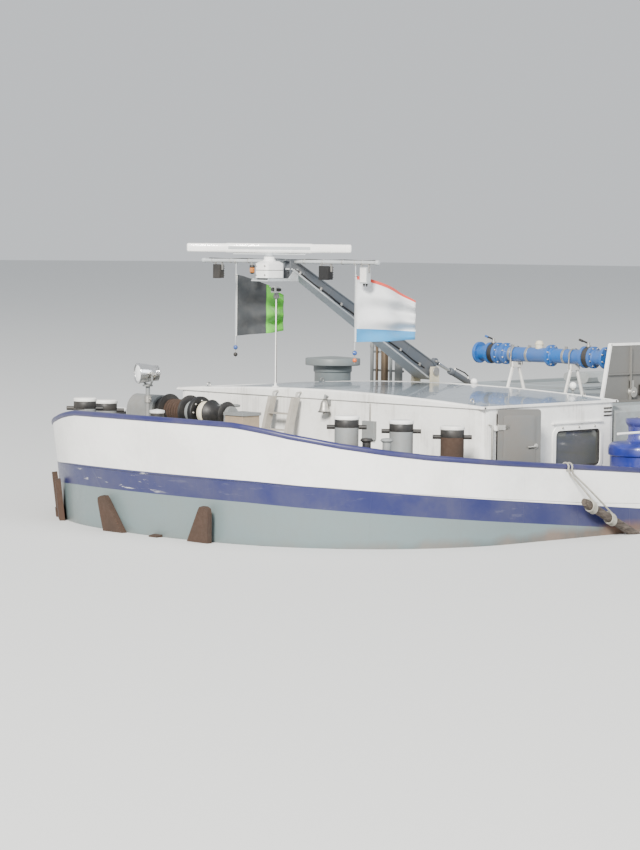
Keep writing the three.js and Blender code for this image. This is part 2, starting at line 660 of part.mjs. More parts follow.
// Flags on the hanging staffs: cloth flying aft of each staff and out to port.
const FLAGS = {
  // fly, hoist, top below the yard, droop of the fly end's top and foot
  port: { fly: 110, hoist: 108, below: 22, droop: [40, -4] },
  starboard: { fly: 98, hoist: 104, below: 24, droop: [34, -8] },
};
for (const [side, y] of FLAG_STAFFS) {
  const { fly, hoist, below, droop } = FLAGS[side];
  const near = -1.3 - GAP - 0.6;
  const outline = [[near, 0], [near, -hoist], [-fly, -hoist - droop[1]], [-fly, -droop[0]]];
  const g = plate(outline, -0.8, 0.8).rotateZ(THREE.MathUtils.degToRad(-25));
  g.translate(HEAD.x, HEAD.y + y, HEAD.z - below);
  add(`flag_${side}`, g, side === 'port' ? 'flagWhite' : 'flagGreen');
}

// Camera on a thin pole that stands on the front edge of the deckhouse roof.
function cameraPole() {
  const [x, y, z] = [3857, -122, 368];
  const eye = fuse(box(x - 8, y - 5, z + 2, x + 9, y + 5, z + 13), pole(x, y, z - 6, z + 4, 5, 10));
  const roof = HOUSE.top + 3 + 2 * GAP + camber(y - 4);
  return fuse(pole(x, y, roof + 1, z, 1.4, 8), eye, pole(x, y, roof, roof + 3, 4, 8));
}
add('camera_pole', cameraPole(), 'white');

// Transverse cargo manifold: pipe with flanges and butterfly valves, on two stands.
const MANIFOLD = { x: 3386, z: 262, y0: -78, y1: 213, radius: 13, flange: 19, stands: [9, 140] };
function manifoldPipe() {
  const { x, z, y0, y1 } = MANIFOLD;
  const long = y1 - y0;
  const flanges = [0, 26, 44, 62, 165, 240, 258, long - 6];
  const steps = flanges.flatMap((at) => [
    [MANIFOLD.radius, at], [MANIFOLD.flange, at], [MANIFOLD.flange, at + 6], [MANIFOLD.radius, at + 6],
  ]);
  const profile = [[0, 0], ...steps.slice(1, -1), [0, long]];
  const pipe = turned(profile, 14).rotateX(-Math.PI / 2).translate(x, y0, z);
  const levers = [35, 249].map((at) => fuse(
    pole(x, y0 + at, z + 10, z + 24, 2.4),
    rod(vec(x, y0 + at, z + 23), vec(x - 8, y0 + at - 26, z + 29), 2)));
  const dome = turned([[0, 0], [7, 0], [7, 8], [4, 13], [0, 14]], 10).translate(x, y0 + 140, z + 11);
  return fuse(pipe, ...levers, dome);
}
add('manifold_pipe', manifoldPipe(), 'blue');

function manifoldStand() {
  const { x, z } = MANIFOLD;
  const frame = (y) => fuse(
    rod(vec(x - 26, y, ON_TRUNK + 1), vec(x - 8, y, z - 20), 3, 6),
    rod(vec(x + 26, y, ON_TRUNK + 1), vec(x + 8, y, z - 20), 3, 6),
    box(x - 12, y - 4, z - 23, x + 12, y + 4, z - MANIFOLD.radius - GAP));
  const [first, last] = MANIFOLD.stands;
  const bases = [x - 26, x + 26].map((at) =>
    box(at - 7, first - 12, ON_TRUNK, at + 7, last + 12, ON_TRUNK + 3));
  const tie = box(x - 26, 70, ON_TRUNK, x + 26, 78, ON_TRUNK + 3);
  const under = box(x - 60, -200, 150, x + 60, 250, ON_TRUNK);
  return carve(fuse(...bases, tie, frame(first), frame(last)), under);
}
add('manifold_stand', manifoldStand(), 'white');

function screenPlate() {
  const outline = [[3462, 186], [3150, 186], [3150, 288], [3440, 288]];
  const wall = plate(outline, 258, 262);
  const foot = box(3150, 246, ON_TRUNK, 3462, 274, ON_TRUNK + 3);
  return carve(fuse(wall, foot), box(3100, 200, 150, 3500, 300, ON_TRUNK));
}
add('screen_plate', screenPlate(), 'grey');

// Capstans on the side decks beside the forward house.
for (const [name, side] of [['capstan_port', 1], ['capstan_starboard', -1]]) {
  const profile = [
    [0, -10], [54, -10], [54, 88], [49, 97], [24, 100], [20, 106], [20, 124], [26, 129], [26, 136],
    [12, 138], [0, 138],
  ];
  const g = turned(profile, 20).translate(3545, side * 408, 38);
  add(name, onDeck(g), 'blue');
}

// Timber fender hung against the port side.
function timberFender() {
  const y = HALF_BEAM + 0.7;
  return rod(vec(3778, y, 58), vec(3540, y + 5, -52), 7.5, 10);
}
add('timber_fender', timberFender(), 'timber');

// Cargo lines along the trunk with cross connections, on low supports.
function cargoPipes() {
  const lines = [-40, 0, 40];
  const z = 214;
  const runs = lines.map((y) => rod(vec(3180, y, z), vec(-2480, y, z), y === 0 ? 11 : 8, 8));
  const sleepers = Array.from({ length: 7 }, (_, i) => 3000 - i * 880);
  const beams = sleepers.map((x) => box(x - 6, -60, ON_TRUNK, x + 6, 60, z));
  const cross = [420, 330].map((x) => rod(vec(x, -300, z + 2), vec(x, 300, z + 2), 9, 8));
  const ends = [420, 330].flatMap((x) => [-1, 1].map((side) =>
    rod(vec(x, side * 294, z + 2), vec(x, side * 300, z + 2), 14, 10)));
  const feet = [420, 330].flatMap((x) => [-1, 1].map((side) =>
    box(x - 5, side * 270 - 5, ON_TRUNK, x + 5, side * 270 + 5, z)));
  return fuse(...runs, ...beams, ...cross, ...ends, ...feet);
}
add('cargo_pipes', cargoPipes(), 'grey');

// Railings on the trunk edge: square stanchions and two rails.
function railing(side) {
  const y = side * (TRUNK.half - 32);
  const posts = Array.from({ length: 11 }, (_, i) => 2580 - i * 500);
  const bars = posts.map((x) => box(x - 1.6, y - 1.6, ON_TRUNK, x + 1.6, y + 1.6, ON_TRUNK + 100));
  const rails = [55, 98].map((z) =>
    box(posts.at(-1) - 1, y - 1.2, ON_TRUNK + z - 1.2, posts[0] + 1, y + 1.2, ON_TRUNK + z + 1.2));
  return fuse(...bars, ...rails);
}
add('railing_port', railing(1), 'white');
add('railing_starboard', railing(-1), 'white');

// Hose crane amidships: fixed pedestal, slewing column, luffing jib laid forward.
const CRANE = { x: 620, y: 120, seat: 262, heel: 330 };
function cranePedestal() {
  const { x, y, seat } = CRANE;
  const profile = [
    [0, ON_TRUNK], [30, ON_TRUNK], [30, 195], [20, 198], [20, seat - 4], [26, seat - 3], [26, seat], [0, seat],
  ];
  return turned(profile, 16).translate(x, y, 0);
}
function craneColumn() {
  const { x, y, seat, heel } = CRANE;
  const profile = [
    [0, seat + GAP], [26, seat + GAP], [26, seat + 4], [17, seat + 6], [15, heel - 16], [0, heel - 16],
  ];
  const head = box(x - 12, y - 15, heel - 18, x + 12, y + 15, heel + 12);
  const body = fuse(turned(profile, 16).translate(x, y, 0), head);
  const slot = box(x - 30, y - 9, heel - 14, x + 30, y + 9, heel + 30);
  return carve(body, slot, rod(vec(x, y - 30, heel), vec(x, y + 30, heel), 4.2, 12));
}
function craneJib() {
  const { x, y, heel } = CRANE;
  const section = (at, half, z0, z1) => [
    vec(at, y - half, z0), vec(at, y + half, z0), vec(at, y + half, z1), vec(at, y - half, z1),
  ];
  const arm = loft([section(x - 9, 8, heel - 7, heel + 7), section(x + 40, 8, heel - 11, heel + 9),
    section(x + 700, 5, heel - 5, heel + 5)]);
  const pin = rod(vec(x, y - 15, heel), vec(x, y + 15, heel), 4, 12);
  const hook = fuse(pole(x + 694, y, heel - 22, heel, 2),
    rod(vec(x + 694, y - 4, heel - 24), vec(x + 694, y + 4, heel - 24), 5, 10));
  return fuse(arm, pin, hook);
}
add('crane_pedestal', cranePedestal(), 'white');
add('crane_column', craneColumn(), 'white');
add('crane_jib', craneJib(), 'white');

// After accommodation: steel house open inside, with a door each side. The davit's
// socket is welded on its roof.
const DAVIT = { x: -3560, y: 300 };
const AFT_DOOR = { aft: -2742, fore: -2668, sill: 56, head: 244 };
function aftHouse() {
  const { fore, aft, half, wall, top } = AFT_HOUSE;
  const outer = prism(roundedPlan(aft, -half, fore, half, 34), 10, top);
  const inner = prism(roundedPlan(aft + wall, -half + wall, fore - wall, half - wall, 28), 0, top - wall);
  const doorways = [-half, half].map((y) =>
    box(AFT_DOOR.aft, y - 2 * wall, AFT_DOOR.sill, AFT_DOOR.fore, y + 2 * wall, AFT_DOOR.head));
  const socket = pole(DAVIT.x, DAVIT.y, top - 2, top + 6, 14, 16);
  return onDeck(fuse(carve(outer, inner, ...doorways), socket));
}
add('aft_house', aftHouse(), 'white');

for (const [name, side] of [['aft_door_port', 1], ['aft_door_starboard', -1]]) {
  const leaf = box(AFT_DOOR.aft - 2, 0, AFT_DOOR.sill - 2, AFT_DOOR.fore + 2, 3, AFT_DOOR.head + 2);
  const handle = box(AFT_DOOR.aft + 4, 2.5, 150, AFT_DOOR.aft + 8, 6, 160);
  const g = fuse(leaf, handle);
  const y = AFT_HOUSE.half + GAP;
  const placed = side > 0 ? g.translate(0, y, 0) : outward(g.scale(1, -1, 1).translate(0, -y, 0));
  add(name, placed, 'grey');
}

// Wheelhouse on the fore end of the after house: windows all round, door in the after wall.
const WHEEL_DOOR = { y0: 60, y1: 122, sill: 298, head: 470 };
function wheelhouse() {
  const { fore, aft, half, wall, base, sill, head, top, rake, corner } = WHEELHOUSE;
  const section = (z, x1, inset) => roundedPlan(aft + inset, -half + inset, x1 - inset, half - inset, corner)
    .map(([x, y]) => vec(x, y, z));
  const outer = loft([section(base + GAP, fore, 0), section(sill, fore, 0), section(top, fore - rake, 0)]);
  const inner = loft([
    section(base - 5, fore, wall), section(sill, fore, wall), section(top - wall, fore - rake, wall),
  ]);
  const sides = [-1, 1].flatMap((side) => [-2975, -2870, -2765].map((x) =>
    box(x, side * half - 20, sill, x + 78, side * half + 20, head)));
  const fronts = [-160, -50, 60].map((y) => box(fore - 60, y, sill, fore + 20, y + 100, head));
  const backs = [-160, -55].map((y) => box(aft - 20, y, sill, aft + 30, y + 92, head));
  const doorway = box(aft - 20, WHEEL_DOOR.y0, WHEEL_DOOR.sill, aft + 30, WHEEL_DOOR.y1, WHEEL_DOOR.head);
  return carve(outer, inner, ...sides, ...fronts, ...backs, doorway);
}
add('wheelhouse', wheelhouse(), 'white');

// Roof with the two cheeks of the folding mast welded on it.
const AFT_MAST = { x: -2900, z: WHEELHOUSE.top + 31 };
function wheelhouseRoof() {
  const { fore, aft, half, top } = WHEELHOUSE;
  const { x, z } = AFT_MAST;
  const slab = prism(roundedPlan(aft - 14, -half - 14, fore + 6, half + 14, 26), top + GAP, top + 9);
  const cheek = (a, b) => plate([[x - 9, top + 5], [x + 9, top + 5], [x + 7, z + 6], [x - 7, z + 6]], a, b);
  return carve(fuse(slab, cheek(-13, -8), cheek(8, 13)), rod(vec(x, -20, z), vec(x, 20, z), 3.5, 12));
}
add('wheelhouse_roof', wheelhouseRoof(), 'roof');

// Glazing band standing just inside the wheelhouse walls, open at the door.
function wheelhouseGlass() {
  const { fore, aft, half, wall, sill, head } = WHEELHOUSE;
  const rake = (z) => (WHEELHOUSE.rake * Math.max(0, z - sill)) / (WHEELHOUSE.top - wall - sill);
  const inset = wall + 1;
  const thick = 2;
  const section = (z, extra) => {
    const [near, far] = [inset + extra, fore - rake(z) - inset - extra];
    const plan = roundedPlan(aft + near, -half + near, far, half - near, WHEELHOUSE.corner);
    return plan.map(([x, y]) => vec(x, y, z));
  };
  const outer = loft([section(sill - 6, 0), section(head + 6, 0)]);
  const inner = loft([section(sill - 8, thick), section(head + 8, thick)]);
  const doorway = box(aft - 10, WHEEL_DOOR.y0 - 6, sill - 10, aft + 40, WHEEL_DOOR.y1 + 6, head + 10);
  return carve(outer, inner, doorway);
}
add('wheelhouse_glass', wheelhouseGlass(), 'glass');

function wheelhouseDoor() {
  const { aft } = WHEELHOUSE;
  const { y0, y1, sill, head } = WHEEL_DOOR;
  const leaf = box(aft - 3 - GAP, y0 - 2, sill - 2, aft - GAP, y1 + 2, head + 2);
  return fuse(leaf, box(aft - 7, y0 + 4, 384, aft - 3, y0 + 8, 394));
}
add('wheelhouse_door', wheelhouseDoor(), 'grey');

// Folding mast between the cheeks on the wheelhouse roof.
function aftMast() {
  const { x, z } = AFT_MAST;
  const post = fuse(pole(x, 0, z - 12, z + 150, 4.5, 10), rod(vec(x, -12.5, z), vec(x, 12.5, z), 3, 12),
    box(x - 6, -7, z - 12, x + 6, 7, z + 10));
  const yard = rod(vec(x, -70, z + 95), vec(x, 70, z + 95), 2.2);
  const lamp = (at) => pole(x, 0, z + at, z + at + 12, 7, 12);
  return fuse(post, yard, lamp(146), lamp(110));
}
add('aft_mast', aftMast(), 'white');

// Twin exhausts on a casing abaft the wheelhouse.
function exhausts() {
  const { top } = AFT_HOUSE;
  const casing = prism(roundedPlan(-3330, -70, -3210, 70, 14, 2), top + GAP, top + 62);
  const pipes = [-34, 34].map((y) => rod(vec(-3270, y, top + 55), vec(-3288, y, top + 112), 13, 12));
  return fuse(casing, ...pipes);
}
add('exhausts', exhausts(), 'black');

// Dinghy on its chocks on the after house, open inside.
const DINGHY = { x: -3580, y: 120, base: AFT_HOUSE.top + 12 };
function dinghy() {
  const sections = [
    // X from the middle, half breadth at the keel, half breadth at the gunwale, keel, gunwale
    [-140, 34, 50, 8, 48], [-60, 46, 62, 0, 46], [50, 42, 60, 0, 48], [110, 24, 44, 6, 53],
    [150, 3, 12, 20, 58],
  ];
  const body = (inset, lift) => loft(sections.map(([x, keel, side, low, high]) => {
    const at = x - Math.sign(x) * inset;
    const [k, s] = [Math.max(1, keel - inset), Math.max(2, side - inset)];
    const [keelZ, topZ] = [low + lift, high + 2 * lift];
    return [vec(at, -k, keelZ), vec(at, k, keelZ), vec(at, s, topZ), vec(at, -s, topZ)];
  }));
  const chocks = [-70, 60].map((x) => box(x - 4, -40, -12 + GAP, x + 4, 40, 6));
  return fuse(carve(body(0, 0), body(4, 4)), ...chocks).translate(DINGHY.x, DINGHY.y, DINGHY.base);
}
add('dinghy', dinghy(), 'grey');

// Slewing davit for the dinghy.
function davit() {
  const { x, y } = DAVIT;
  const z = AFT_HOUSE.top + 6 + GAP;
  return fuse(pole(x, y, z, z + 150, 6, 12),
    rod(vec(x, y, z + 146), vec(x - 20, y - 170, z + 176), 5, 10),
    rod(vec(x, y, z + 70), vec(x - 10, y - 85, z + 160), 3, 8));
}
add('davit', davit(), 'white');

// Stern bitts on a common base.
for (const [name, side] of [['stern_bitts_port', 1], ['stern_bitts_starboard', -1]]) {
  const profile = [[0, 24], [12, 24], [12, 112], [15, 116], [15, 122], [0, 123]];
  const posts = [-3560, -3500].map((x) => turned(profile, 12).translate(x, side * 400, 0));
  const base = box(-3585, side * 400 - 18, 10, -3475, side * 400 + 18, deckZ(-3530) + 5);
  add(name, onDeck(fuse(base, ...posts)), 'grey');
}

// Propeller on its shaft, and the two rudders.
const SCREW = { x: -3842, radius: 74, hub: 16, blades: 4, pitch: 34 };
function propeller() {
  const { x, radius, hub, blades, pitch } = SCREW;
  const boss = turned([[0, -20], [9, -16], [hub, -4], [hub, 20], [0, 20]], 16).rotateY(Math.PI / 2);
  const stub = rod(vec(18, 0, 0), vec(72, 0, 0), 8, 16);
  const outline = [
    [-9, 6], [9, 6], [24, radius * 0.5], [24, radius * 0.78],
    [10, radius], [-10, radius], [-22, radius * 0.75], [-20, radius * 0.45],
  ];
  const blade = (turn) => {
    const s = new THREE.Shape(outline.map(([a, b]) => new THREE.Vector2(a, b)));
    const g = new THREE.ExtrudeGeometry(s, { depth: 3, bevelEnabled: false }).translate(0, 0, -1.5);
    g.rotateX(Math.PI / 2).rotateZ(THREE.MathUtils.degToRad(90 - pitch));
    return g.rotateX(turn);
  };
  const fan = Array.from({ length: blades }, (_, i) => blade((i * 2 * Math.PI) / blades));
  return fuse(boss, stub, ...fan).translate(x, 0, SHAFT_Z);
}
add('propeller', propeller(), 'bronze');

for (const [name, side] of [['rudder_port', 1], ['rudder_starboard', -1]]) {
  const plan = [[28, 0], [20, 6], [0, 8], [-50, 4], [-84, 0], [-50, -4], [0, -8], [20, -6]];
  const blade = prism(plan, -248, -86);
  const g = fuse(blade, pole(0, 0, -90, 5, STOCK_R, 16)).translate(STOCK_X, side * RUDDER_Y, 0);
  add(name, g, 'black');
}

export default barge;
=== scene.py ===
import math

import bmesh
import bpy
from mathutils import Matrix, Vector, noise


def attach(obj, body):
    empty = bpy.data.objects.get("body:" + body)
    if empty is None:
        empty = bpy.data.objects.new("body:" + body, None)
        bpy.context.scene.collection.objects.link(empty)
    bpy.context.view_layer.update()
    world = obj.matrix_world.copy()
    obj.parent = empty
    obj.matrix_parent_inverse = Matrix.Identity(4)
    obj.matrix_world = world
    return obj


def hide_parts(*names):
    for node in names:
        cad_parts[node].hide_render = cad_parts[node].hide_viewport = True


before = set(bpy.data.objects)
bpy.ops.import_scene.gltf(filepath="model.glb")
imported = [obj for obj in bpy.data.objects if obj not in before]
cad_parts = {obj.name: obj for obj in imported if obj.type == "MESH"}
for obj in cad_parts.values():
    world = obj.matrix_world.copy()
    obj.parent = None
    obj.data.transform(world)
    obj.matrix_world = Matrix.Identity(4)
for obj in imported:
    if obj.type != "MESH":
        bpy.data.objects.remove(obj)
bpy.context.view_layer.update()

mm = 0.001

# The view of the photograph: from the port bow at eye height on another ship, a long lens,
# the horizon above the middle of the picture. One model metre is ten metres of the real ship.
image_height_px, focal_px, horizon_px = 850, 2600, 249
camera_data = bpy.data.cameras.new("photo_camera")
camera_data.lens = 36.0 * focal_px / image_height_px
camera_data.clip_start, camera_data.clip_end = 0.05, 400
camera = bpy.data.objects.new("photo_camera", camera_data)
bpy.context.scene.collection.objects.link(camera)
camera.location = (6.94, 2.96, 0.444)
camera_heading = math.radians(134)
camera_pitch = math.atan((image_height_px / 2 - horizon_px) / focal_px)
camera_roll = math.radians(0.6)
camera.rotation_euler = (Matrix.Rotation(camera_heading, 3, "Z")
                         @ Matrix.Rotation(math.pi / 2 - camera_pitch, 3, "X")
                         @ Matrix.Rotation(camera_roll, 3, "Z")).to_euler()
bpy.context.scene.camera = camera


# Soft studio light: a large key from ahead of the port bow as in the photograph, a weak fill
# from the camera's right and a pale sky. The pale floor lies at the waterline.
def area_light(name, place, target, size, power, colour):
    data = bpy.data.lights.new(name, "AREA")
    data.shape = "DISK"
    data.size, data.energy, data.color = size, power, colour
    lamp = bpy.data.objects.new(name, data)
    bpy.context.scene.collection.objects.link(lamp)
    lamp.location = place
    lamp.rotation_euler = (Vector(place) - Vector(target)).to_track_quat("Z", "Y").to_euler()


area_light("key_light", (13.5, 5.5, 6.5), (3.9, 0.1, 0.1), 3.0, 4200, (1.0, 0.96, 0.89))
area_light("fill_light", (2.0, 12.0, 6.0), (3.0, 0.0, 0.1), 8.0, 620, (0.9, 0.95, 1.0))

world = bpy.data.worlds.new("pale_sky")
bpy.context.scene.world = world
world.use_nodes = True
sky = world.node_tree.nodes["Background"]
sky.inputs["Color"].default_value = (0.80, 0.83, 0.86, 1)
sky.inputs["Strength"].default_value = 0.95


def new_material(name):
    material = bpy.data.materials.new(name)
    material.use_nodes = True
    nodes = material.node_tree.nodes
    nodes.clear()
    shader = nodes.new("ShaderNodeBsdfPrincipled")
    output = nodes.new("ShaderNodeOutputMaterial")
    material.node_tree.links.new(shader.outputs["BSDF"], output.inputs["Surface"])
    return material, shader


def floor():
    reach = 60
    mesh = bpy.data.meshes.new("floor")
    mesh.from_pydata([(-reach, -reach, 0), (reach, -reach, 0), (reach, reach, 0), (-reach, reach, 0)],
                     [], [(0, 1, 2, 3)])
    plane = bpy.data.objects.new("floor", mesh)
    bpy.context.scene.collection.objects.link(plane)
    material, shader = new_material("pale_floor")
    shader.inputs["Base Color"].default_value = (0.66, 0.67, 0.67, 1)
    shader.inputs["Roughness"].default_value = 0.75
    mesh.materials.append(material)


floor()


# Weathering shared by all paint: broad dirt, rain streaks that run down, chips and rubbed edges.
# Each material places the group with its own colours and amounts.
class Tree:
    """Short way to place and join nodes in one node tree."""

    def __init__(self, tree):
        self.nodes, self.links = tree.nodes, tree.links

    def add(self, kind, values=None, **settings):
        node = self.nodes.new("ShaderNode" + kind)
        for key, value in settings.items():
            setattr(node, key, value)
        for key, value in (values or {}).items():
            self.set(node, key, value)
        return node

    def set(self, node, key, value):
        socket = node.inputs[key]
        if isinstance(value, bpy.types.NodeSocket):
            self.links.new(value, socket)
        else:
            socket.default_value = value

    def math(self, operation, a, b=0.5, clamp=False):
        return self.add("Math", {0: a, 1: b}, operation=operation, use_clamp=clamp).outputs[0]

    def step(self, value, low, high, start=0.0, end=1.0):
        node = self.add("MapRange", {"Value": value, "From Min": low, "From Max": high,
                                     "To Min": start, "To Max": end})
        return node.outputs["Result"]

    def mix(self, share, a, b):
        node = self.add("Mix", data_type="RGBA")
        self.set(node, 0, share)
        self.set(node, 6, a)
        self.set(node, 7, b)
        return node.outputs[2]

    def noise(self, place, scale, detail=4.0, roughness=0.55):
        values = {"Vector": place, "Scale": scale, "Detail": detail, "Roughness": roughness}
        return self.add("TexNoise", values).outputs["Fac"]

    def ends(self):
        return self.nodes.new("NodeGroupInput"), self.nodes.new("NodeGroupOutput")

    def stretched(self, place, x, y, z):
        return self.add("Mapping", {"Vector": place, "Scale": (x, y, z)}).outputs["Vector"]


def new_group(name, inputs, outputs):
    group = bpy.data.node_groups.new(name, "ShaderNodeTree")
    for label, kind, value in inputs:
        socket = group.interface.new_socket(name=label, in_out="INPUT", socket_type="NodeSocket" + kind)
        socket.default_value = value
    for label, kind in outputs:
        group.interface.new_socket(name=label, in_out="OUTPUT", socket_type="NodeSocket" + kind)
    tree = Tree(group)
    start, end = tree.ends()
    return group, tree, start, end


def make_weathering():
    group, t, start, end = new_group("weathering", [
        ("Paint", "Color", (0.8, 0.8, 0.8, 1)), ("Dirt", "Color", (0.16, 0.13, 0.10, 1)),
        ("Under", "Color", (0.20, 0.10, 0.05, 1)), ("Dirt Amount", "Float", 0.4),
        ("Streaks", "Float", 0.4), ("Chips", "Float", 0.3), ("Shine", "Float", 0.4),
        ("Scale", "Float", 1.0),
    ], [("Color", "Color"), ("Roughness", "Float"), ("Height", "Float")])
    i = start.outputs
    place = t.add("TexCoord").outputs["Object"]
    broad = t.noise(place, t.math("MULTIPLY", i["Scale"], 14.0), 6)
    fine = t.noise(place, t.math("MULTIPLY", i["Scale"], 160.0), 5)
    cloudy = t.step(t.math("ADD", broad, t.math("MULTIPLY", fine, 0.35)), 0.58, 0.86)
    dirt = t.math("MULTIPLY", cloudy, i["Dirt Amount"], True)
    columns = t.noise(t.stretched(place, 190, 190, 4.5), 1.0, 4)
    runs = t.step(t.math("MULTIPLY", columns, t.step(broad, 0.35, 0.65)), 0.30, 0.52)
    streaks = t.math("MULTIPLY", runs, i["Streaks"], True)
    speck = t.noise(place, t.math("MULTIPLY", i["Scale"], 420.0), 6, 0.7)
    rounded = t.add("Bevel", {"Radius": 0.0016}, samples=4).outputs["Normal"]
    flat = t.add("NewGeometry").outputs["Normal"]
    facing = t.add("VectorMath", {0: rounded, 1: flat}, operation="DOT_PRODUCT").outputs["Value"]
    edge = t.step(facing, 0.995, 0.90)
    worn = t.math("ADD", t.math("MULTIPLY", edge, 0.42), t.step(speck, 0.55, 0.80, 0.0, 0.5))
    reach = t.math("SUBTRACT", 1.05, t.math("MULTIPLY", i["Chips"], 0.75))
    chips = t.step(t.math("ADD", worn, t.math("MULTIPLY", fine, 0.35)), reach,
                   t.math("ADD", reach, 0.05))
    faded = t.mix(t.math("MULTIPLY", t.step(broad, 0.3, 0.8), 0.03), i["Paint"], (0.75, 0.74, 0.70, 1))
    dirty = t.mix(t.math("MAXIMUM", dirt, streaks), faded, i["Dirt"])
    colour = t.mix(chips, dirty, i["Under"])
    rough = t.math("ADD", i["Shine"], t.math("MULTIPLY", t.math("ADD", dirt, chips), 0.3), True)
    height = t.math("SUBTRACT", t.math("MULTIPLY", fine, 0.25), t.math("MULTIPLY", chips, 0.6))
    t.set(end, "Color", colour)
    t.set(end, "Roughness", t.math("ADD", rough, t.step(fine, 0.3, 0.7, -0.04, 0.06), True))
    t.set(end, "Height", height)
    return group


weathering = make_weathering()


def paint(name, colour, shine, dirt, streaks, chips, scale=1.0, metal=0.0, coat=0.0,
          under=(0.20, 0.10, 0.05), soil=(0.16, 0.13, 0.10), relief=0.25):
    material, shader = new_material(name)
    t = Tree(material.node_tree)
    group = t.add("Group", node_tree=weathering)
    for key, value in (("Paint", (*colour, 1)), ("Dirt", (*soil, 1)), ("Under", (*under, 1)),
                       ("Dirt Amount", dirt), ("Streaks", streaks), ("Chips", chips),
                       ("Shine", shine), ("Scale", scale)):
        group.inputs[key].default_value = value
    bump = t.add("Bump", {"Strength": relief, "Distance": 0.0006, "Height": group.outputs["Height"]})
    t.set(shader, "Base Color", group.outputs["Color"])
    t.set(shader, "Roughness", group.outputs["Roughness"])
    t.set(shader, "Normal", bump.outputs["Normal"])
    shader.inputs["Metallic"].default_value = metal
    shader.inputs["Coat Weight"].default_value = coat
    return material


# The hull: steel plating, welded, with a rounded bow and an oval stern. The paint runs from the
# blue band under the deck edge through blue grey to a black bottom; ice, locks and quays have
# scuffed it, and a dark band with rust runs along the waterline.
half_beam, bow_x, taper_x = 0.475, 4.250, 3.530
front_radius, corner_radius = 0.770, 0.360
turn_angle, end_angle = 12.0, 84.3
sheer = (
    # X, deck edge, bulwark head
    (-4.300, 0.092, 0.150), (-3.900, 0.080, 0.132), (-3.400, 0.056, 0.108), (-2.900, 0.038, 0.084),
    (3.450, 0.038, 0.084), (3.600, 0.044, 0.092), (3.743, 0.053, 0.104), (3.915, 0.068, 0.118),
    (4.062, 0.081, 0.132), (4.120, 0.086, 0.140), (4.172, 0.091, 0.150), (4.215, 0.094, 0.162),
    (4.250, 0.096, 0.176), (4.300, 0.097, 0.181),
)
hull_levels = (
    # height, half breadth, bow shift, stern end, start of the stern curve
    (-0.260, 0.430, -0.235, -3.250, -2.500), (-0.228, 0.466, -0.150, -3.330, -2.550),
    (-0.130, 0.475, -0.062, -3.560, -2.700), (-0.062, 0.475, -0.022, -3.990, -2.850),
    (0.0, 0.475, 0.0, -4.160, -2.900),
)


def along_sheer(x, column):
    rows = list(zip(sheer, sheer[1:]))
    low, high = next((pair for pair in rows if pair[1][0] >= x), rows[-1])
    share = (x - low[0]) / (high[0] - low[0])
    return low[column] + share * (high[column] - low[column])


def half_outline(half, shift, stern_x, stern_start=-2.900):
    """Half plan from the stem to the stern: two arcs, a taper, the straight side, a half oval."""
    points = []
    scale = half / half_beam
    centre = bow_x - front_radius
    turn = math.radians(turn_angle)
    reach = front_radius - corner_radius
    for i in range(19):
        a = turn * i / 18
        points.append((centre + front_radius * math.cos(a) + shift, front_radius * math.sin(a) * scale))
    for i in range(1, 25):
        a = turn + math.radians(end_angle - turn_angle) * i / 24
        points.append((centre + reach * math.cos(turn) + corner_radius * math.cos(a) + shift,
                       (reach * math.sin(turn) + corner_radius * math.sin(a)) * scale))
    last_x, last_y = points[-1]
    for part in (0.2, 0.4, 0.6, 0.8, 1.0):
        points.append((last_x + (taper_x + shift - last_x) * part, last_y + (half - last_y) * part))
    points += [(x, half) for x in (3.450 + shift, 3.0, 2.4, 1.6, 0.8, 0.0, -0.8, -1.6, -2.2, stern_start)]
    for i in range(1, 25):
        a = math.pi / 48 * i
        across = half * math.cos(a) ** 0.7 if i < 24 else 0.0
        points.append((stern_start + (stern_x - stern_start) * math.sin(a), across))
    return points


def both_sides(half, height):
    port = [(x, y, height(x) if callable(height) else height) for x, y in half]
    return port + [(x, -y, z) for x, y, z in reversed(port[1:-1])]


def mesh_object(name, verts, faces, materials, face_slots=None, smooth_angle=35.0):
    mesh = bpy.data.meshes.new(name)
    mesh.from_pydata([tuple(v) for v in verts], [], faces)
    for material in materials:
        mesh.materials.append(material)
    if face_slots:
        mesh.polygons.foreach_set("material_index", face_slots)
    mesh.validate()
    made = bmesh.new()
    made.from_mesh(mesh)
    bmesh.ops.recalc_face_normals(made, faces=made.faces)
    made.to_mesh(mesh)
    made.free()
    mesh.polygons.foreach_set("use_smooth", [True] * len(mesh.polygons))
    mesh.set_sharp_from_angle(angle=math.radians(smooth_angle))
    thing = bpy.data.objects.new(name, mesh)
    bpy.context.scene.collection.objects.link(thing)
    return thing


def rings_mesh(rings, closed):
    """Verts and faces of equal rings joined side by side, with both ends filled."""
    n = len(rings[0])
    verts = [p for ring in rings for p in ring]
    faces = []
    for r in range(len(rings) - 1):
        for i in range(n):
            j = (i + 1) % n
            faces.append((r * n + i, r * n + j, (r + 1) * n + j, (r + 1) * n + i))
    if closed:
        faces.append(tuple(reversed(range(n))))
        faces.append(tuple(range((len(rings) - 1) * n, len(rings) * n)))
    return verts, faces


band_line = (
    # X, lower edge of the white: the blue band begins here and is 33 mm deep
    (-4.300, 0.090), (-3.900, 0.078), (-3.400, 0.052), (-2.900, 0.032), (3.450, 0.032),
    (3.625, 0.038), (3.975, 0.072), (4.194, 0.093), (4.250, 0.100), (4.300, 0.101),
)
band_depth = 0.033


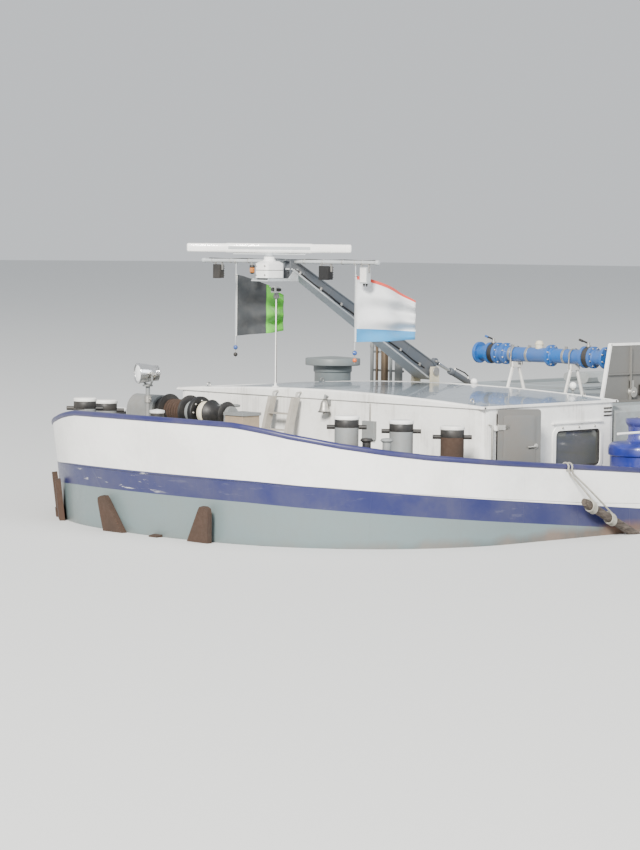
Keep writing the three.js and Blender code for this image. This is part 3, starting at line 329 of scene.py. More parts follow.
def make_hull_bands():
    """Paint bands by height: their edges follow the sheer, and each mask is 1 below its edge."""
    group, t, start, end = new_group("hull_bands", [
        ("White", "Color", (0.90, 0.90, 0.88, 1)), ("Blue", "Color", (0.004, 0.008, 0.085, 1)),
        ("Grey", "Color", (0.14, 0.19, 0.20, 1)), ("Bottom", "Color", (0.02, 0.02, 0.022, 1)),
    ], [("Color", "Color"), ("Blue Zone", "Float"), ("Height", "Float")])
    # The curve holds the band line in shares of the ship's length and of an eighth of a metre.
    reach, per_metre, soft = 4.3, 8, 0.0003
    i = start.outputs
    parts = t.add("SeparateXYZ", {0: t.add("TexCoord").outputs["Object"]}).outputs
    curve = t.add("FloatCurve", {"Value": t.step(parts["X"], -reach, reach)})
    points = curve.mapping.curves[0].points
    while len(points) < len(band_line):
        points.new(0.5, 0.5)
    for point, (x, z) in zip(points, band_line):
        point.location = ((x + reach) / (2 * reach), z * per_metre)
        point.handle_type = "VECTOR"
    curve.mapping.update()
    above = t.math("SUBTRACT", parts["Z"], t.math("DIVIDE", curve.outputs[0], per_metre))
    blue = t.step(above, soft, -soft)
    grey = t.step(above, -band_depth + soft, -band_depth - soft)
    wave = t.noise(t.add("TexCoord").outputs["Object"], 30.0, 3)
    bottom = t.step(t.math("ADD", parts["Z"], t.math("MULTIPLY", wave, 0.004)), 0.0024, 0.0014)
    colour = t.mix(blue, i["White"], i["Blue"])
    colour = t.mix(grey, colour, i["Grey"])
    colour = t.mix(bottom, colour, i["Bottom"])
    t.set(end, "Color", colour)
    t.set(end, "Blue Zone", t.math("SUBTRACT", blue, grey))
    t.set(end, "Height", parts["Z"])
    return group


hull_bands = make_hull_bands()


def hull_paint():
    material, shader = new_material("hull_paint")
    t = Tree(material.node_tree)
    bands = t.add("Group", node_tree=hull_bands)
    worn = t.add("Group", {"Paint": bands.outputs["Color"], "Dirt": (0.12, 0.11, 0.09, 1),
                           "Under": (0.30, 0.17, 0.10, 1), "Dirt Amount": 0.14, "Streaks": 0.14,
                           "Chips": 0.16, "Shine": 0.34, "Scale": 0.8}, node_tree=weathering)
    place = t.add("TexCoord").outputs["Object"]
    parts = t.add("SeparateXYZ", {0: place}).outputs
    # Scuffs rubbed through the blue band where the bow meets lock walls.
    rub = t.noise(t.stretched(place, 9, 9, 60), 1.6, 6, 0.7)
    off_middle = t.math("ABSOLUTE", t.math("ADD", parts["Y"], 0.075))
    near_bow = t.math("MULTIPLY", t.step(parts["X"], 4.15, 4.24), t.step(off_middle, 0.12, 0.07))
    scuff = t.math("MULTIPLY", t.step(rub, 0.60, 0.66), bands.outputs["Blue Zone"])
    scuff = t.math("MULTIPLY", scuff, t.math("ADD", t.math("MULTIPLY", near_bow, 0.8), 0.04), True)
    colour = t.mix(scuff, worn.outputs["Color"], (0.66, 0.66, 0.64, 1))
    # A dark band with rust patches just above the water, deeper further aft.
    reach = t.noise(t.stretched(place, 14, 14, 5), 1.0, 6, 0.6)
    aft = t.step(parts["X"], 4.25, 3.60)
    line = t.math("ADD", t.math("MULTIPLY", reach, 0.030), t.math("MULTIPLY", aft, 0.010))
    waterline_band = t.step(t.math("SUBTRACT", parts["Z"], line), -0.004, -0.016)
    dark = t.mix(t.step(reach, 0.4, 0.62), (0.045, 0.042, 0.035, 1), (0.17, 0.085, 0.045, 1))
    colour = t.mix(t.math("MULTIPLY", waterline_band, t.math("ADD", t.math("MULTIPLY", aft, 0.75), 0.15), True),
                   colour, dark)
    # Plate seams every 1.2 m of the real ship, and the plating drawn in between the frames.
    seam = t.math("PINGPONG", t.math("ADD", parts["X"], 0.07), 0.06)
    weld = t.step(seam, 0.0010, 0.0)
    dents = t.noise(t.stretched(place, 9, 9, 14), 1.0, 3)
    height = t.math("ADD", t.math("MULTIPLY", worn.outputs["Height"], 0.10), t.math("MULTIPLY", weld, 0.35))
    height = t.math("ADD", height, t.math("MULTIPLY", dents, 2.6))
    bump = t.add("Bump", {"Strength": 0.5, "Distance": 0.0012, "Height": height})
    t.set(shader, "Base Color", colour)
    t.set(shader, "Roughness", worn.outputs["Roughness"])
    t.set(shader, "Normal", bump.outputs["Normal"])
    shader.inputs["Coat Weight"].default_value = 0.25
    shader.inputs["Coat Roughness"].default_value = 0.25
    return material


hull_coat = hull_paint()
deck_paint = paint("deck_paint", (0.20, 0.22, 0.22), 0.7, 0.6, 0.0, 0.35)
bottom_black = paint("bottom_black", (0.03, 0.03, 0.032), 0.6, 0.3, 0.2, 0.3)
deck_line = half_outline(half_beam, 0.012, -4.250)
rail_line = half_outline(half_beam, 0.022, -4.262)


def build_hull():
    rings = [both_sides(half_outline(half, shift, stern, start), z)
             for z, half, shift, stern, start in hull_levels]
    low, high = rings[-1], both_sides(deck_line, lambda x: along_sheer(x, 1))
    for share in (0.35, 0.7):
        rings.append([tuple(a + (b - a) * share for a, b in zip(p, q)) for p, q in zip(low, high)])
    rings.append(high)
    verts, faces = rings_mesh(rings, closed=False)
    n = len(rings[0])
    faces.append(tuple(reversed(range(n))))
    top = (len(rings) - 1) * n
    slots = [0] * len(faces)
    # The deck is laid in strips from side to side, so it follows the sheer.
    for i in range(n // 2):
        port, star = top + i, top + (n - i) % n
        next_port, next_star = top + i + 1, top + n - i - 1
        corners = list(dict.fromkeys((port, next_port, next_star, star)))
        if len(corners) > 2:
            faces.append(tuple(corners))
            slots.append(1)
    return mesh_object("hull_shell", verts, faces, [hull_coat, deck_paint], slots, 30)


def vec(x, y, z):
    return Vector((x, y, z))


def up(z):
    return Vector((0, 0, z))


class Piece:
    """Gathers the solids of one real piece, in millimetres, and makes one mesh of them."""

    def __init__(self):
        self.verts, self.faces, self.slots, self.materials = [], [], [], []

    def add(self, verts, faces, material):
        if material not in self.materials:
            self.materials.append(material)
        first = len(self.verts)
        self.verts += [Vector(v) * mm for v in verts]
        self.faces += [tuple(first + i for i in face) for face in faces]
        self.slots += [self.materials.index(material)] * len(faces)

    def rings(self, rings, material, closed=True):
        self.add(*rings_mesh(rings, closed), material)

    def box(self, x0, y0, z0, x1, y1, z1, material):
        self.rings([[(x0, y0, z), (x1, y0, z), (x1, y1, z), (x0, y1, z)] for z in (z0, z1)], material)

    def tube(self, points, radius, material, sides=12):
        """A round bar through the points, with mitred bends."""
        points = [Vector(q) for q in points]
        rings = []
        side = None
        for k, point in enumerate(points):
            before, after = points[max(k - 1, 0)], points[min(k + 1, len(points) - 1)]
            along = (after - before).normalized()
            if side is None:
                side = along.orthogonal().normalized()
            side = (side - along * side.dot(along)).normalized()
            other = along.cross(side)
            size = radius
            if 0 < k < len(points) - 1:
                half_turn = (point - before).normalized().angle((after - point).normalized(), 0.0) / 2
                size /= max(0.4, math.cos(half_turn))
            rings.append([point + (side * math.cos(a) + other * math.sin(a)) * size
                          for a in (math.tau * i / sides for i in range(sides))])
        self.rings(rings, material)

    def turned(self, profile, place, material, axis=(0, 0, 1), sides=32):
        """A lathed solid: radius and height rows along the axis from the place."""
        along = Vector(axis).normalized()
        side = along.orthogonal().normalized()
        other = along.cross(side)
        base = Vector(place)
        rings = [[base + along * height + (side * math.cos(a) + other * math.sin(a)) * max(radius, 0.01)
                  for a in (math.tau * i / sides for i in range(sides))] for radius, height in profile]
        self.rings(rings, material)

    def plate(self, outline, y0, y1, material):
        """An outline of X and Z, from side to side."""
        self.rings([[(x, y, z) for x, z in outline] for y in (y0, y1)], material)

    def make(self, name, body, replaces=(), *, bevel, smooth=38.0, slot=None, place=None):
        if place:
            self.verts = [place @ v for v in self.verts]
        thing = mesh_object(name, self.verts, self.faces, self.materials, self.slots, smooth)
        if bevel:
            round_edges(thing, bevel)
        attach(thing, body)
        if replaces:
            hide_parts(*replaces)
        return thing


def round_edges(thing, width):
    modifier = thing.modifiers.new("rounded_edges", "BEVEL")
    modifier.width = width * mm
    modifier.segments = 2
    modifier.limit_method = "ANGLE"
    modifier.angle_limit = math.radians(42)
    modifier.use_clamp_overlap = True
    modifier.harden_normals = False


hull_shell = build_hull()
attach(hull_shell, "ship")
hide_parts("hull")

# Underwater fittings: the skeg with the stern tube, and the trunks in which the rudder stocks turn.
# They are black plate and heavy steel tube, welded on the hull.
shaft_z, rudder_y = -172, 62
skeg = Piece()
skeg.plate([(-3150, -252), (-3150, -100), (-3650, -100), (-3760, -158), (-3760, -186), (-3560, -252)],
           -13, 13, bottom_black)
skeg.turned([(17, 0), (17, 385), (14, 400), (9.5, 400), (9.5, 340), (9.5, 340)], (-3400, 0, shaft_z),
            bottom_black, (-1, 0, 0))
for side in (-1, 1):
    skeg.turned([(16, -100), (16, 0), (13, 4), (8.6, 4), (8.6, -98)], (-4012, side * rudder_y, -20),
                bottom_black)
skeg.make("skeg_and_stern_tube", "ship", bevel=1.5)

# Bow bulwark: thin steel plating that carries on the line of the hull above the deck, stiffened
# inside by bracket plates. A round pipe, painted violet blue, is welded along its head.
white_steel = paint("white_steel", (0.86, 0.86, 0.84), 0.42, 0.32, 0.34, 0.22)
rail_blue = paint("rail_blue", (0.018, 0.02, 0.10), 0.34, 0.12, 0.05, 0.3, under=(0.42, 0.42, 0.40))
bulwark_end = 49


def station(line, i):
    x, y = line[i]
    before = line[i - 1] if i else (line[1][0], -line[1][1])
    after = line[i + 1] if i + 1 < len(line) else (line[i - 1][0], -line[i - 1][1])
    along = Vector((after[0] - before[0], after[1] - before[1])).normalized()
    return Vector((x, y)), Vector((along.y, -along.x))


def around_end(indices, section):
    """Rings from the last station on the port side round the centreline to the starboard side."""
    port = [section(i, 1) for i in reversed(indices)]
    return port + [section(i, -1) for i in indices if abs(deck_line[i][1]) > 0.001]


def wall_section(i, side):
    thickness = 0.004
    foot, foot_out = station(deck_line, i)
    head, head_out = station(rail_line, i)
    low, high = along_sheer(foot.x, 1) + 0.0003, along_sheer(head.x, 2)
    rows = ((foot, foot_out, 0.0, low), (head, head_out, 0.0, high),
            (head, head_out, thickness, high), (foot, foot_out, thickness, low))
    return [((p.x - n.x * inset) / mm, side * (p.y - n.y * inset) / mm, z / mm) for p, n, inset, z in rows]


def rail_section(i, side):
    radius, inset = 4.5, 0.002
    p, n = station(rail_line, i)
    centre = vec(p.x - n.x * inset, side * (p.y - n.y * inset), along_sheer(p.x, 2)) / mm
    centre.z += radius * 0.87 + 0.3
    out = vec(n.x, side * n.y, 0)
    return [centre + out * (radius * math.cos(a)) + up(radius * math.sin(a))
            for a in (math.tau * k / 16 for k in range(16))]


bow_stations = list(range(bulwark_end))
bulwark = Piece()
bulwark.rings(around_end(bow_stations, wall_section), hull_coat)
bulwark.make("bow_bulwark", "ship", ["bulwark"], bevel=0.4, slot="hull_paint")

stays = Piece()
for i in range(2, bulwark_end, 4):
    for side in (-1, 1):
        foot, head = (Vector(wall_section(i, side)[k]) for k in (3, 2))
        inward = vec(-station(deck_line, i)[1].x, -side * station(deck_line, i)[1].y, 0)
        across = vec(-inward.y, inward.x, 0) * 1.5
        corners = (foot, foot + inward * 22, foot + inward * 18 + up(8), head + inward * 5 - up(6),
                   head - up(4))
        stays.rings([[c + across * s for c in corners] for s in (-1, 1)], white_steel)
stays.make("bulwark_stays", "ship", bevel=0.0)

rail = Piece()
rail.rings(around_end(bow_stations, rail_section), rail_blue)
rail.make("bow_rail_pipe", "ship", ["bow_rail"], bevel=0.0, slot="rail_paint")

# Stern bulwark: the same steel plating, welded to the deck edge round the oval stern. A flat
# capping bar in the rail's blue closes its head.
stern_stations = list(range(len(deck_line) - 22, len(deck_line)))
stern = Piece()
stern_wall = [wall_section(i, 1) for i in stern_stations]
stern_wall += [wall_section(i, -1) for i in reversed(stern_stations[:-1])]
stern.rings(stern_wall, hull_coat)
capping = []
for ring in stern_wall:
    outer, inner = Vector(ring[1]), Vector(ring[2])
    away = (outer - inner).normalized() * 2.5
    capping.append([outer + away, outer + away + up(3), inner - away + up(3), inner - away])
stern.rings(capping, rail_blue)
stern.make("stern_bulwark_plating", "ship", ["stern_bulwark"], bevel=0.4, slot="hull_paint")

# Anchors: stockless, of cast iron, hove up against the bow plating with the crown in the water.
# One lies on the centreline and one on the starboard bow, both brown with rust.
rust = paint("rusty_iron", (0.048, 0.024, 0.014), 0.85, 0.75, 0.3, 0.5, 1.2,
             under=(0.17, 0.065, 0.025), soil=(0.035, 0.022, 0.015), relief=0.7)


def dress(node, material, bevel):
    """Gives a CAD node its material and rounded edges; its mesh stays as it is."""
    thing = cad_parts[node]
    thing.data.materials.clear()
    thing.data.materials.append(material)
    thing.data.polygons.foreach_set("use_smooth", [True] * len(thing.data.polygons))
    thing.data.set_sharp_from_angle(angle=math.radians(32))
    if bevel:
        round_edges(thing, bevel)
    return thing


for node in ("bow_anchor", "starboard_anchor"):
    dress(node, rust, 2.2)

# Cross bollards: steel pipe posts welded on doubler strips, grey with a black collar and a white
# cap, each with a round bar through its head.
grey_steel = paint("grey_steel", (0.20, 0.215, 0.22), 0.5, 0.4, 0.25, 0.35)
# Black paint for collars, housings, bars and rudders; the same black also paints the shade in the mouth of
# the bell.
black_steel_and_bell_shade = paint("black_steel_and_bell_shade", (0.008, 0.008, 0.009), 0.5, 0.15, 0.05, 0.25)
bollard_rows = {
    # X, distance from the centreline, top, heading of the cross bar in degrees
    1: ((4124, 296, 196, -46), (4040, 330, 188, -46), (3955, 358, 177, -46)),
    -1: ((4162, 256, 198, 46), (4083, 294, 190, 46), (3975, 392, 168, 46)),
}


def deck_height(x):
    return along_sheer(x * mm, 1) / mm


for side, name in ((1, "port"), (-1, "starboard")):
    bollards = Piece()
    row = bollard_rows[side]
    for k, (x, out, top, heading) in enumerate(row):
        y, base = side * out, deck_height(x) + 1
        body = rust if (side, k) == (1, 2) else grey_steel
        bollards.turned([(24, 0), (24, 4), (19, 6), (18, 8), (18, top - base - 17)], (x, y, base), body)
        bollards.turned([(18, 0), (18.3, 0.5), (18.3, 11), (18, 11.5)], (x, y, top - 17.5), black_steel_and_bell_shade)
        bollards.turned([(17.8, 0), (19.2, 0.8), (19.2, 4.5), (17.5, 6.2), (0, 6.6)], (x, y, top - 6),
                        white_steel)
        turn = math.radians(side * heading)
        reach = vec(math.cos(turn), math.sin(turn), 0) * 30
        head = vec(x, y, top - 17)
        bollards.tube([head - reach, head + reach], 3.4, black_steel_and_bell_shade, 16)
    for (x0, out0, *_), (x1, out1, *_) in zip(row, row[1:]):
        ends = [vec(x0, side * out0, deck_height(x0) - 3), vec(x1, side * out1, deck_height(x1) - 3)]
        along = (ends[1] - ends[0]).normalized() * 22
        across = vec(-along.y, along.x, 0).normalized() * 20
        plan = [ends[0] - along + across, ends[1] + along + across, ends[1] + along - across,
                ends[0] - along - across]
        bollards.rings([[c + up(h) for c in plan] for h in (0, 8.5)], grey_steel)
    bollards.make(f"cross_bollards_{name}", "ship", [f"bollards_{name}"], bevel=0.5, slot="grey_paint")

# Fairleads at the bow: pairs of upright steel rollers on the deck inside the rail, and a short
# black post with a white cap abaft the stem.
leads = Piece()
for x, y, heading in ((4118, 352, 45), (4194, -228, -28)):
    base = deck_height(x) + 1
    rise = along_sheer(x * mm, 2) / mm + 22 - base
    turn = Matrix.Rotation(math.radians(heading), 3, "Z")
    for shift, coat in ((-15, black_steel_and_bell_shade), (15, grey_steel)):
        place = vec(x, y, base) + turn @ vec(0, shift, 0)
        leads.turned([(9, 0), (9, rise - 26), (11, rise - 25), (11, rise - 21), (6.5, rise - 19),
                      (6.5, rise - 3), (10, rise), (8, rise + 3), (0, rise + 4)], place, coat, sides=24)
post_foot = vec(4201, -39, deck_height(4201))
leads.turned([(16, 0), (16, 3), (10.5, 4), (10.5, 92), (0, 92)], post_foot, black_steel_and_bell_shade, sides=24)
leads.turned([(10.5, 92), (12, 93), (12, 97), (0, 99)], post_foot, white_steel, sides=24)
leads.make("fairleads", "ship", bevel=0.4, slot="grey_paint")

# Windlass: welded steel bed on the foredeck with a closed gear housing, a motor box, a brake
# cylinder and a handwheel; the drum shaft turns in its two bearing plates. Grey and tan paint.
bare_metal = paint("bare_metal", (0.52, 0.51, 0.48), 0.38, 0.35, 0.2, 0.15, 1.5, metal=0.85,
                   under=(0.25, 0.14, 0.08))
tan_paint = paint("tan_paint", (0.34, 0.26, 0.18), 0.55, 0.5, 0.4, 0.35)
axle_x, axle_z = 4004, 174


def bolts(piece, places, axis, radius, height, material=bare_metal):
    """Hexagon heads on washers at the places, standing out along the axis."""
    for place in places:
        piece.turned([(radius * 1.35, 0), (radius * 1.35, height * 0.25), (radius, height * 0.25),
                      (radius, height * 0.9), (radius * 0.8, height)], place, material, axis, sides=6)


def ring_of(centre, radius, count, axis="Y", start=0.0):
    """Points on a circle square to the axis."""
    spots = []
    for k in range(count):
        a = start + math.tau * k / count
        c, s = radius * math.cos(a), radius * math.sin(a)
        offset = {"X": (0, c, s), "Y": (c, 0, s), "Z": (c, s, 0)}[axis]
        spots.append(Vector(centre) + Vector(offset))
    return spots


def hoop(piece, centre, radius, bar, material, axis, sides=8, count=28):
    points = ring_of(centre, radius, count, axis)
    piece.tube(points + points[:2], bar, material, sides)


def rounded_outline(u0, v0, u1, v1, radius, steps):
    """Rectangle with round corners, as pairs that can be X and Y or X and Z."""
    points = []
    for cu, cv, start in ((u1 - radius, v1 - radius, 0), (u0 + radius, v1 - radius, 90),
                          (u0 + radius, v0 + radius, 180), (u1 - radius, v0 + radius, 270)):
        for k in range(steps + 1):
            a = math.radians(start + 90 * k / steps)
            points.append((cu + radius * math.cos(a), cv + radius * math.sin(a)))
    return points


def half_round(x, z, across, high, steps, first=0):
    """Upper half of an ellipse about a point of X and Z."""
    return [(x + across * math.cos(math.pi * k / steps), z + high * math.sin(math.pi * k / steps))
            for k in range(first, steps + 1)]


gear = Piece()
bed_y0, bed_y1 = -306, -28
bed_z = deck_height(axle_x) + 1
bed_top = bed_z + 5
gear.box(axle_x - 30, bed_y0, bed_z, axle_x + 30, bed_y1, bed_top, grey_steel)
for x in (axle_x - 26, axle_x + 26):
    gear.box(x - 4, bed_y0, bed_top, x + 4, bed_y1, bed_top + 5, grey_steel)
housing = [(axle_x - 27, bed_top), (axle_x + 26, bed_top)] + half_round(axle_x, axle_z, 26, 24, 14)
gear.plate(housing, -302, -240, grey_steel)
gear.plate([(x + (axle_x - x) * 0.16, z) for x, z in housing], -305, -299, grey_steel)
bolts(gear, ring_of((axle_x, -304, axle_z), 18, 8), (0, -1, 0), 1.8, 3)
gear.turned([(10, 0), (10, 5), (7, 7), (0, 8)], (axle_x, -305, axle_z), grey_steel, (0, -1, 0))
gear.turned([(17, 0), (21, 2), (21, 9), (16, 11)], (axle_x, -241, axle_z), black_steel_and_bell_shade, (0, 1, 0))
for y0, y1 in ((-238, -230), (-80, -73)):
    cheek = [(axle_x - 18, bed_top), (axle_x + 18, bed_top), (axle_x + 13, axle_z)]
    gear.plate(cheek + half_round(axle_x, axle_z, 13, 13, 8, 1), y0, y1, grey_steel)
gear.box(axle_x - 19, -71, bed_top, axle_x + 19, -30, 176, tan_paint)
gear.box(axle_x - 21, -73, 174, axle_x + 21, bed_y1, 179, grey_steel)
gear.box(axle_x - 21, -73, bed_top, axle_x + 21, bed_y1, bed_top + 7, grey_steel)
gear.box(axle_x + 19, -62, 128, axle_x + 21, -40, 160, grey_steel)
bolts(gear, [(axle_x + 20.5, y, z) for y in (-59, -43) for z in (131, 157)], (1, 0, 0), 1.2, 1.6)
gear.make("windlass_bed_and_gear", "ship", ["windlass"], bevel=0.9, slot="grey_paint")

brake = Piece()
hub = vec(axle_x - 22, -110, 186)
brake.tube([(hub.x, hub.y, bed_z + 6), hub], 3, bare_metal)
hoop(brake, hub, 21, 1.9, grey_steel, axis="Z")
for rim in ring_of(hub, 21, 4, "Z", 0.4):
    brake.tube([hub, rim], 1.5, grey_steel, 8)
brake.turned([(5, -2), (5, 3), (3, 4), (0, 4.5)], hub, grey_steel)
brake.tube([(hub.x - 6, -246, bed_z + 6), (hub.x - 6, -246, 158)], 7, black_steel_and_bell_shade, 16)
brake.make("windlass_brake", "ship", bevel=0.3)

# Windlass drum: rope drum between flanges, a cream disc and a waisted black warping end on one
# steel shaft. Six turns of rusty wire lie on the drum.
cream = paint("cream_paint", (0.72, 0.66, 0.50), 0.5, 0.4, 0.2, 0.3)
drum = Piece()
drum_y = -226


def on_shaft(profile, material):
    drum.turned(profile, (axle_x, drum_y, axle_z), material, (0, 1, 0), 36)


on_shaft([(0, -11), (7, -11), (7, 151), (0, 151)], bare_metal)
on_shaft([(7, 0), (26, 0), (27, 1.5), (27, 3.5), (14, 5), (14, 48), (26, 49), (27, 50.5), (27, 53), (18, 56),
          (7, 56)], black_steel_and_bell_shade)
on_shaft([(7, 57), (18, 57), (18, 70), (7, 70)], grey_steel)
on_shaft([(7, 71), (25, 71), (26, 72.5), (26, 78.5), (25, 80), (7, 80)], black_steel_and_bell_shade)
on_shaft([(7, 84), (17, 85), (18.5, 87), (18.5, 93), (16, 96), (7, 96)], cream)
on_shaft([(7, 100), (21, 101), (22, 104), (17, 109), (13.5, 117), (13, 124), (15, 132), (20, 138),
          (20.5, 141), (18, 142), (7, 142)], black_steel_and_bell_shade)
bolts(drum, ring_of((axle_x, drum_y + 80, axle_z), 19, 8), (0, 1, 0), 1.5, 2)
wraps, turns, steps, wrap_radius = [], 6, 18, 16.6
for k in range(turns * steps + 1):
    a = math.tau * k / steps
    wraps.append((axle_x + wrap_radius * math.cos(a), drum_y + 8 + 37 * k / (turns * steps),
                  axle_z + wrap_radius * math.sin(a)))
drum.tube(wraps, 2.7, rust, 8)
drum.make("windlass_drum_and_shaft", "drum", ["windlass_drum"], bevel=0.3, slot="rusty_iron")

# Searchlight: chrome can with a bright lens and ribs round its back. It is held in a steel yoke by
# a clamp knuckle on a post, which stands on the foredeck.
chrome = paint("chrome", (0.80, 0.80, 0.80), 0.14, 0.12, 0.1, 0.02, 2.0, metal=1.0)
lamp_glass, shader = new_material("lamp_glass")
shader.inputs["Base Color"].default_value = (0.92, 0.94, 0.95, 1)
shader.inputs["Roughness"].default_value = 0.12
shader.inputs["Coat Weight"].default_value = 0.8
light_at, light_turn = vec(4074, -201, 238), math.radians(-21)
light_axis = vec(math.cos(light_turn), math.sin(light_turn), 0)
post = Piece()
post_foot = vec(light_at.x, light_at.y, deck_height(light_at.x) + 1)
post_top = 216 - post_foot.z
knuckle = light_at - up(42)
post.turned([(12, 0), (12, 3), (4.5, 5), (3.6, 8), (3.6, post_top), (5.4, post_top + 1)], post_foot,
            grey_steel, sides=20)
post.turned([(5.6, 0), (5.6, 10), (4.0, 12)], knuckle - up(6), bare_metal, sides=20)
post.tube([knuckle + vec(0, -7, 0), knuckle + vec(0, 8, 0)], 1.5, bare_metal, 8)
post.turned([(8.5, 0), (8.5, 2.6), (4, 3)], light_at - up(21.5), grey_steel, sides=24)
post.make("searchlight_stand", "ship", ["searchlight_post"], bevel=0.3, slot="grey_paint")

can = Piece()
can.turned([(5, -21), (9, -18), (11, -13), (13, -8), (15.5, 4), (16, 15), (17.2, 15.5), (17.2, 18.5),
            (15.6, 19), (15.2, 17.8)], light_at, chrome, light_axis)
can.turned([(15.4, 17.0), (12, 18.2), (7, 19.0), (0, 19.4)], light_at, lamp_glass, light_axis)
for at in (-17, -14, -11):
    can.turned([(12.5, at), (13, at + 0.4), (13, at + 1.2), (12.5, at + 1.6)], light_at, chrome, light_axis)
across = vec(-light_axis.y, light_axis.x, 0)
for side in (-1, 1):
    hip = light_at + across * (side * 19)
    can.tube([light_at - up(18.5), light_at + across * (side * 12) - up(18.5), hip - up(12), hip], 1.8,
             grey_steel, 8)
    can.tube([hip - across * (side * 4), hip + across * (side * 4)], 3.4, bare_metal, 12)
can.make("searchlight_can", "bow_light", ["searchlight"], bevel=0.25, slot="bare_steel")

# Forward deckhouse: a welded steel box, painted white, with stiffened openings. Each side has a
# window set in a bolted frame with a rubber seal; abaft it, three black strips are painted shade
# for the insides of three vent slots.
glass = paint("window_glass", (0.075, 0.08, 0.072), 0.06, 0.12, 0.10, 0.0, coat=0.6)
# Black rubber for seals, feet and hoses; the same black also paints the shade inside the deckhouse's vent
# slots.
rubber_and_slot_shade = paint("rubber_and_slot_shade", (0.015, 0.015, 0.016), 0.75, 0.2, 0.0, 0.0)
house_white = paint("house_white", (0.88, 0.88, 0.86), 0.32, 0.18, 0.30, 0.14, coat=0.2)
house_fore, house_aft, house_half, house_top = 3870, 3532, 346, 198
dress("forward_house", house_white, 1.2)


def framed_window(piece, u0, v0, u1, v1, radius, at, out, axis="Y", depth=3.6):
    """Ring frame, seal and pane on a wall: u runs along it, v is Z, out is its outward sense."""
    def on_wall(line, height):
        level = at + out * height
        return [(u, level, v) if axis == "Y" else (level, u, v) for u, v in line]

    outer = rounded_outline(u0 - 6, v0 - 6, u1 + 6, v1 + 6, radius + 6, 6)
    inner = rounded_outline(u0 + 1, v0 + 1, u1 - 1, v1 - 1, radius, 6)
    seal = rounded_outline(u0 + 4, v0 + 4, u1 - 4, v1 - 4, radius - 3, 6)
    seal_height = 0.6 if depth > 1 else 1.4
    frame_rows = ((outer, 0.0), (outer, 1.8), (inner, 2.4), (inner, 0.6 - depth))
    seal_rows = ((inner, seal_height), (seal, seal_height), (seal, 0.6 - depth))
    piece.rings([on_wall(line, h) for line, h in frame_rows], house_white, closed=False)
    piece.rings([on_wall(line, h) for line, h in seal_rows], rubber_and_slot_shade, closed=False)
    piece.rings([on_wall(seal, -depth), on_wall(seal, 1.4 - depth)], glass)


for side, name in ((1, "port"), (-1, "starboard")):
    window = Piece()
    wall_y = side * house_half
    framed_window(window, 3575, 96, 3692, 158, 9, wall_y, side)
    bolts(window, [(x, wall_y + side * 2, z) for x in (3592, 3633, 3675) for z in (92.5, 161.5)],
          (0, side, 0), 1.5, 2.2)
    # Vent slots: thin black strips on the wall, painted shade where the slots are dark inside.
    for k in range(3):
        window.box(3545, wall_y - side * 0.3, 176 + 6 * k, 3566, wall_y + side * 1.2, 178.5 + 6 * k, rubber_and_slot_shade)
    window.box(3570, wall_y - side * 0.3, 168, 3700, wall_y + side * 4, 170, house_white)
    window.make(f"side_window_{name}", "ship", bevel=0.0, slot="window_glass")

# Outfit of the deckhouse walls: rubbing strips along the foot, weld seams, a switch box with its
# conduit on the front and a grab rail near the port door, all steel and fixed to the plating.
outfit = Piece()
strip_aft, strip_fore, strip_low, strip_high = house_aft + 20, 3760, 1, 9
front_foot = deck_height(house_fore)
for side in (-1, 1):
    outfit.plate([(strip_aft, deck_height(strip_aft) + strip_low),
                  (strip_fore, deck_height(strip_fore) + strip_low),
                  (strip_fore, deck_height(strip_fore) + strip_high),
                  (strip_aft, deck_height(strip_aft) + strip_high)], side * house_half,
                 side * (house_half + 1.6), house_white)
outfit.box(house_fore - 0.2, -300, front_foot + strip_low, house_fore + 1.6, 300, front_foot + strip_high,
           house_white)
outfit.box(house_fore - 0.3, 96, 138, house_fore + 7, 122, 168, grey_steel)
outfit.tube([(house_fore + 2, 109, 168), (house_fore + 2, 109, 196)], 1.3, bare_metal, 8)
outfit.tube([(3856, house_half + 1, 118), (3856, house_half + 8, 120), (3856, house_half + 8, 172),
             (3856, house_half + 1, 174)], 1.5, bare_metal, 8)
for y in (-215, 215):
    outfit.box(house_fore - 0.2, y - 0.8, front_foot + strip_high, house_fore + 0.5, y + 0.8, house_top,
               house_white)
outfit.make("deckhouse_outfit", "ship", bevel=0.3, slot="white_paint")

# Deckhouse roof: one cambered steel plate in glossy grey blue, laid in a white rounded rim on the
# walls, with four lifting eyes near the corners.
roof_blue = paint("roof_blue", (0.22, 0.27, 0.32), 0.16, 0.2, 0.05, 0.08, 0.8, coat=0.5,
                  under=(0.5, 0.5, 0.5), soil=(0.2, 0.19, 0.17), relief=0.1)


def camber(y):
    return 12 * (1 - (y / house_half) ** 2)


roof = Piece()
rim_half, plate_half, roof_foot = 349, 344, house_top + 0.3
for toward, inner_x, out_x in ((1, house_fore - 5, house_fore + 3), (-1, house_aft + 6, house_aft - 2)):
    rings = []
    for y in (rim_half * (k / 16 - 1) for k in range(33)):
        z = roof_foot + 3 + max(0.0, camber(y))
        rings.append([(inner_x, y, roof_foot), (out_x, y, roof_foot), (out_x, y, z - 2.0),
                      (out_x - toward * 1.2, y, z - 0.3), (out_x - toward * 3, y, z + 0.7),
                      (inner_x, y, z + 0.8)])
    roof.rings(rings, house_white)
for side in (-1, 1):
    roof.box(house_aft + 2, side * rim_half, roof_foot, house_fore - 1, side * 343, house_top + 4.4,
             house_white)
sections = []
for x in (house_aft + 5, 3620, 3700, 3790, house_fore - 4.5):
    curve = [(x, y, house_top + 3.2 + max(0.0, camber(y)))
             for y in (plate_half * (k / 16 - 1) for k in range(33))]
    sections.append(curve + [(x, plate_half, roof_foot), (x, -plate_half, roof_foot)])
roof.rings(sections, roof_blue)
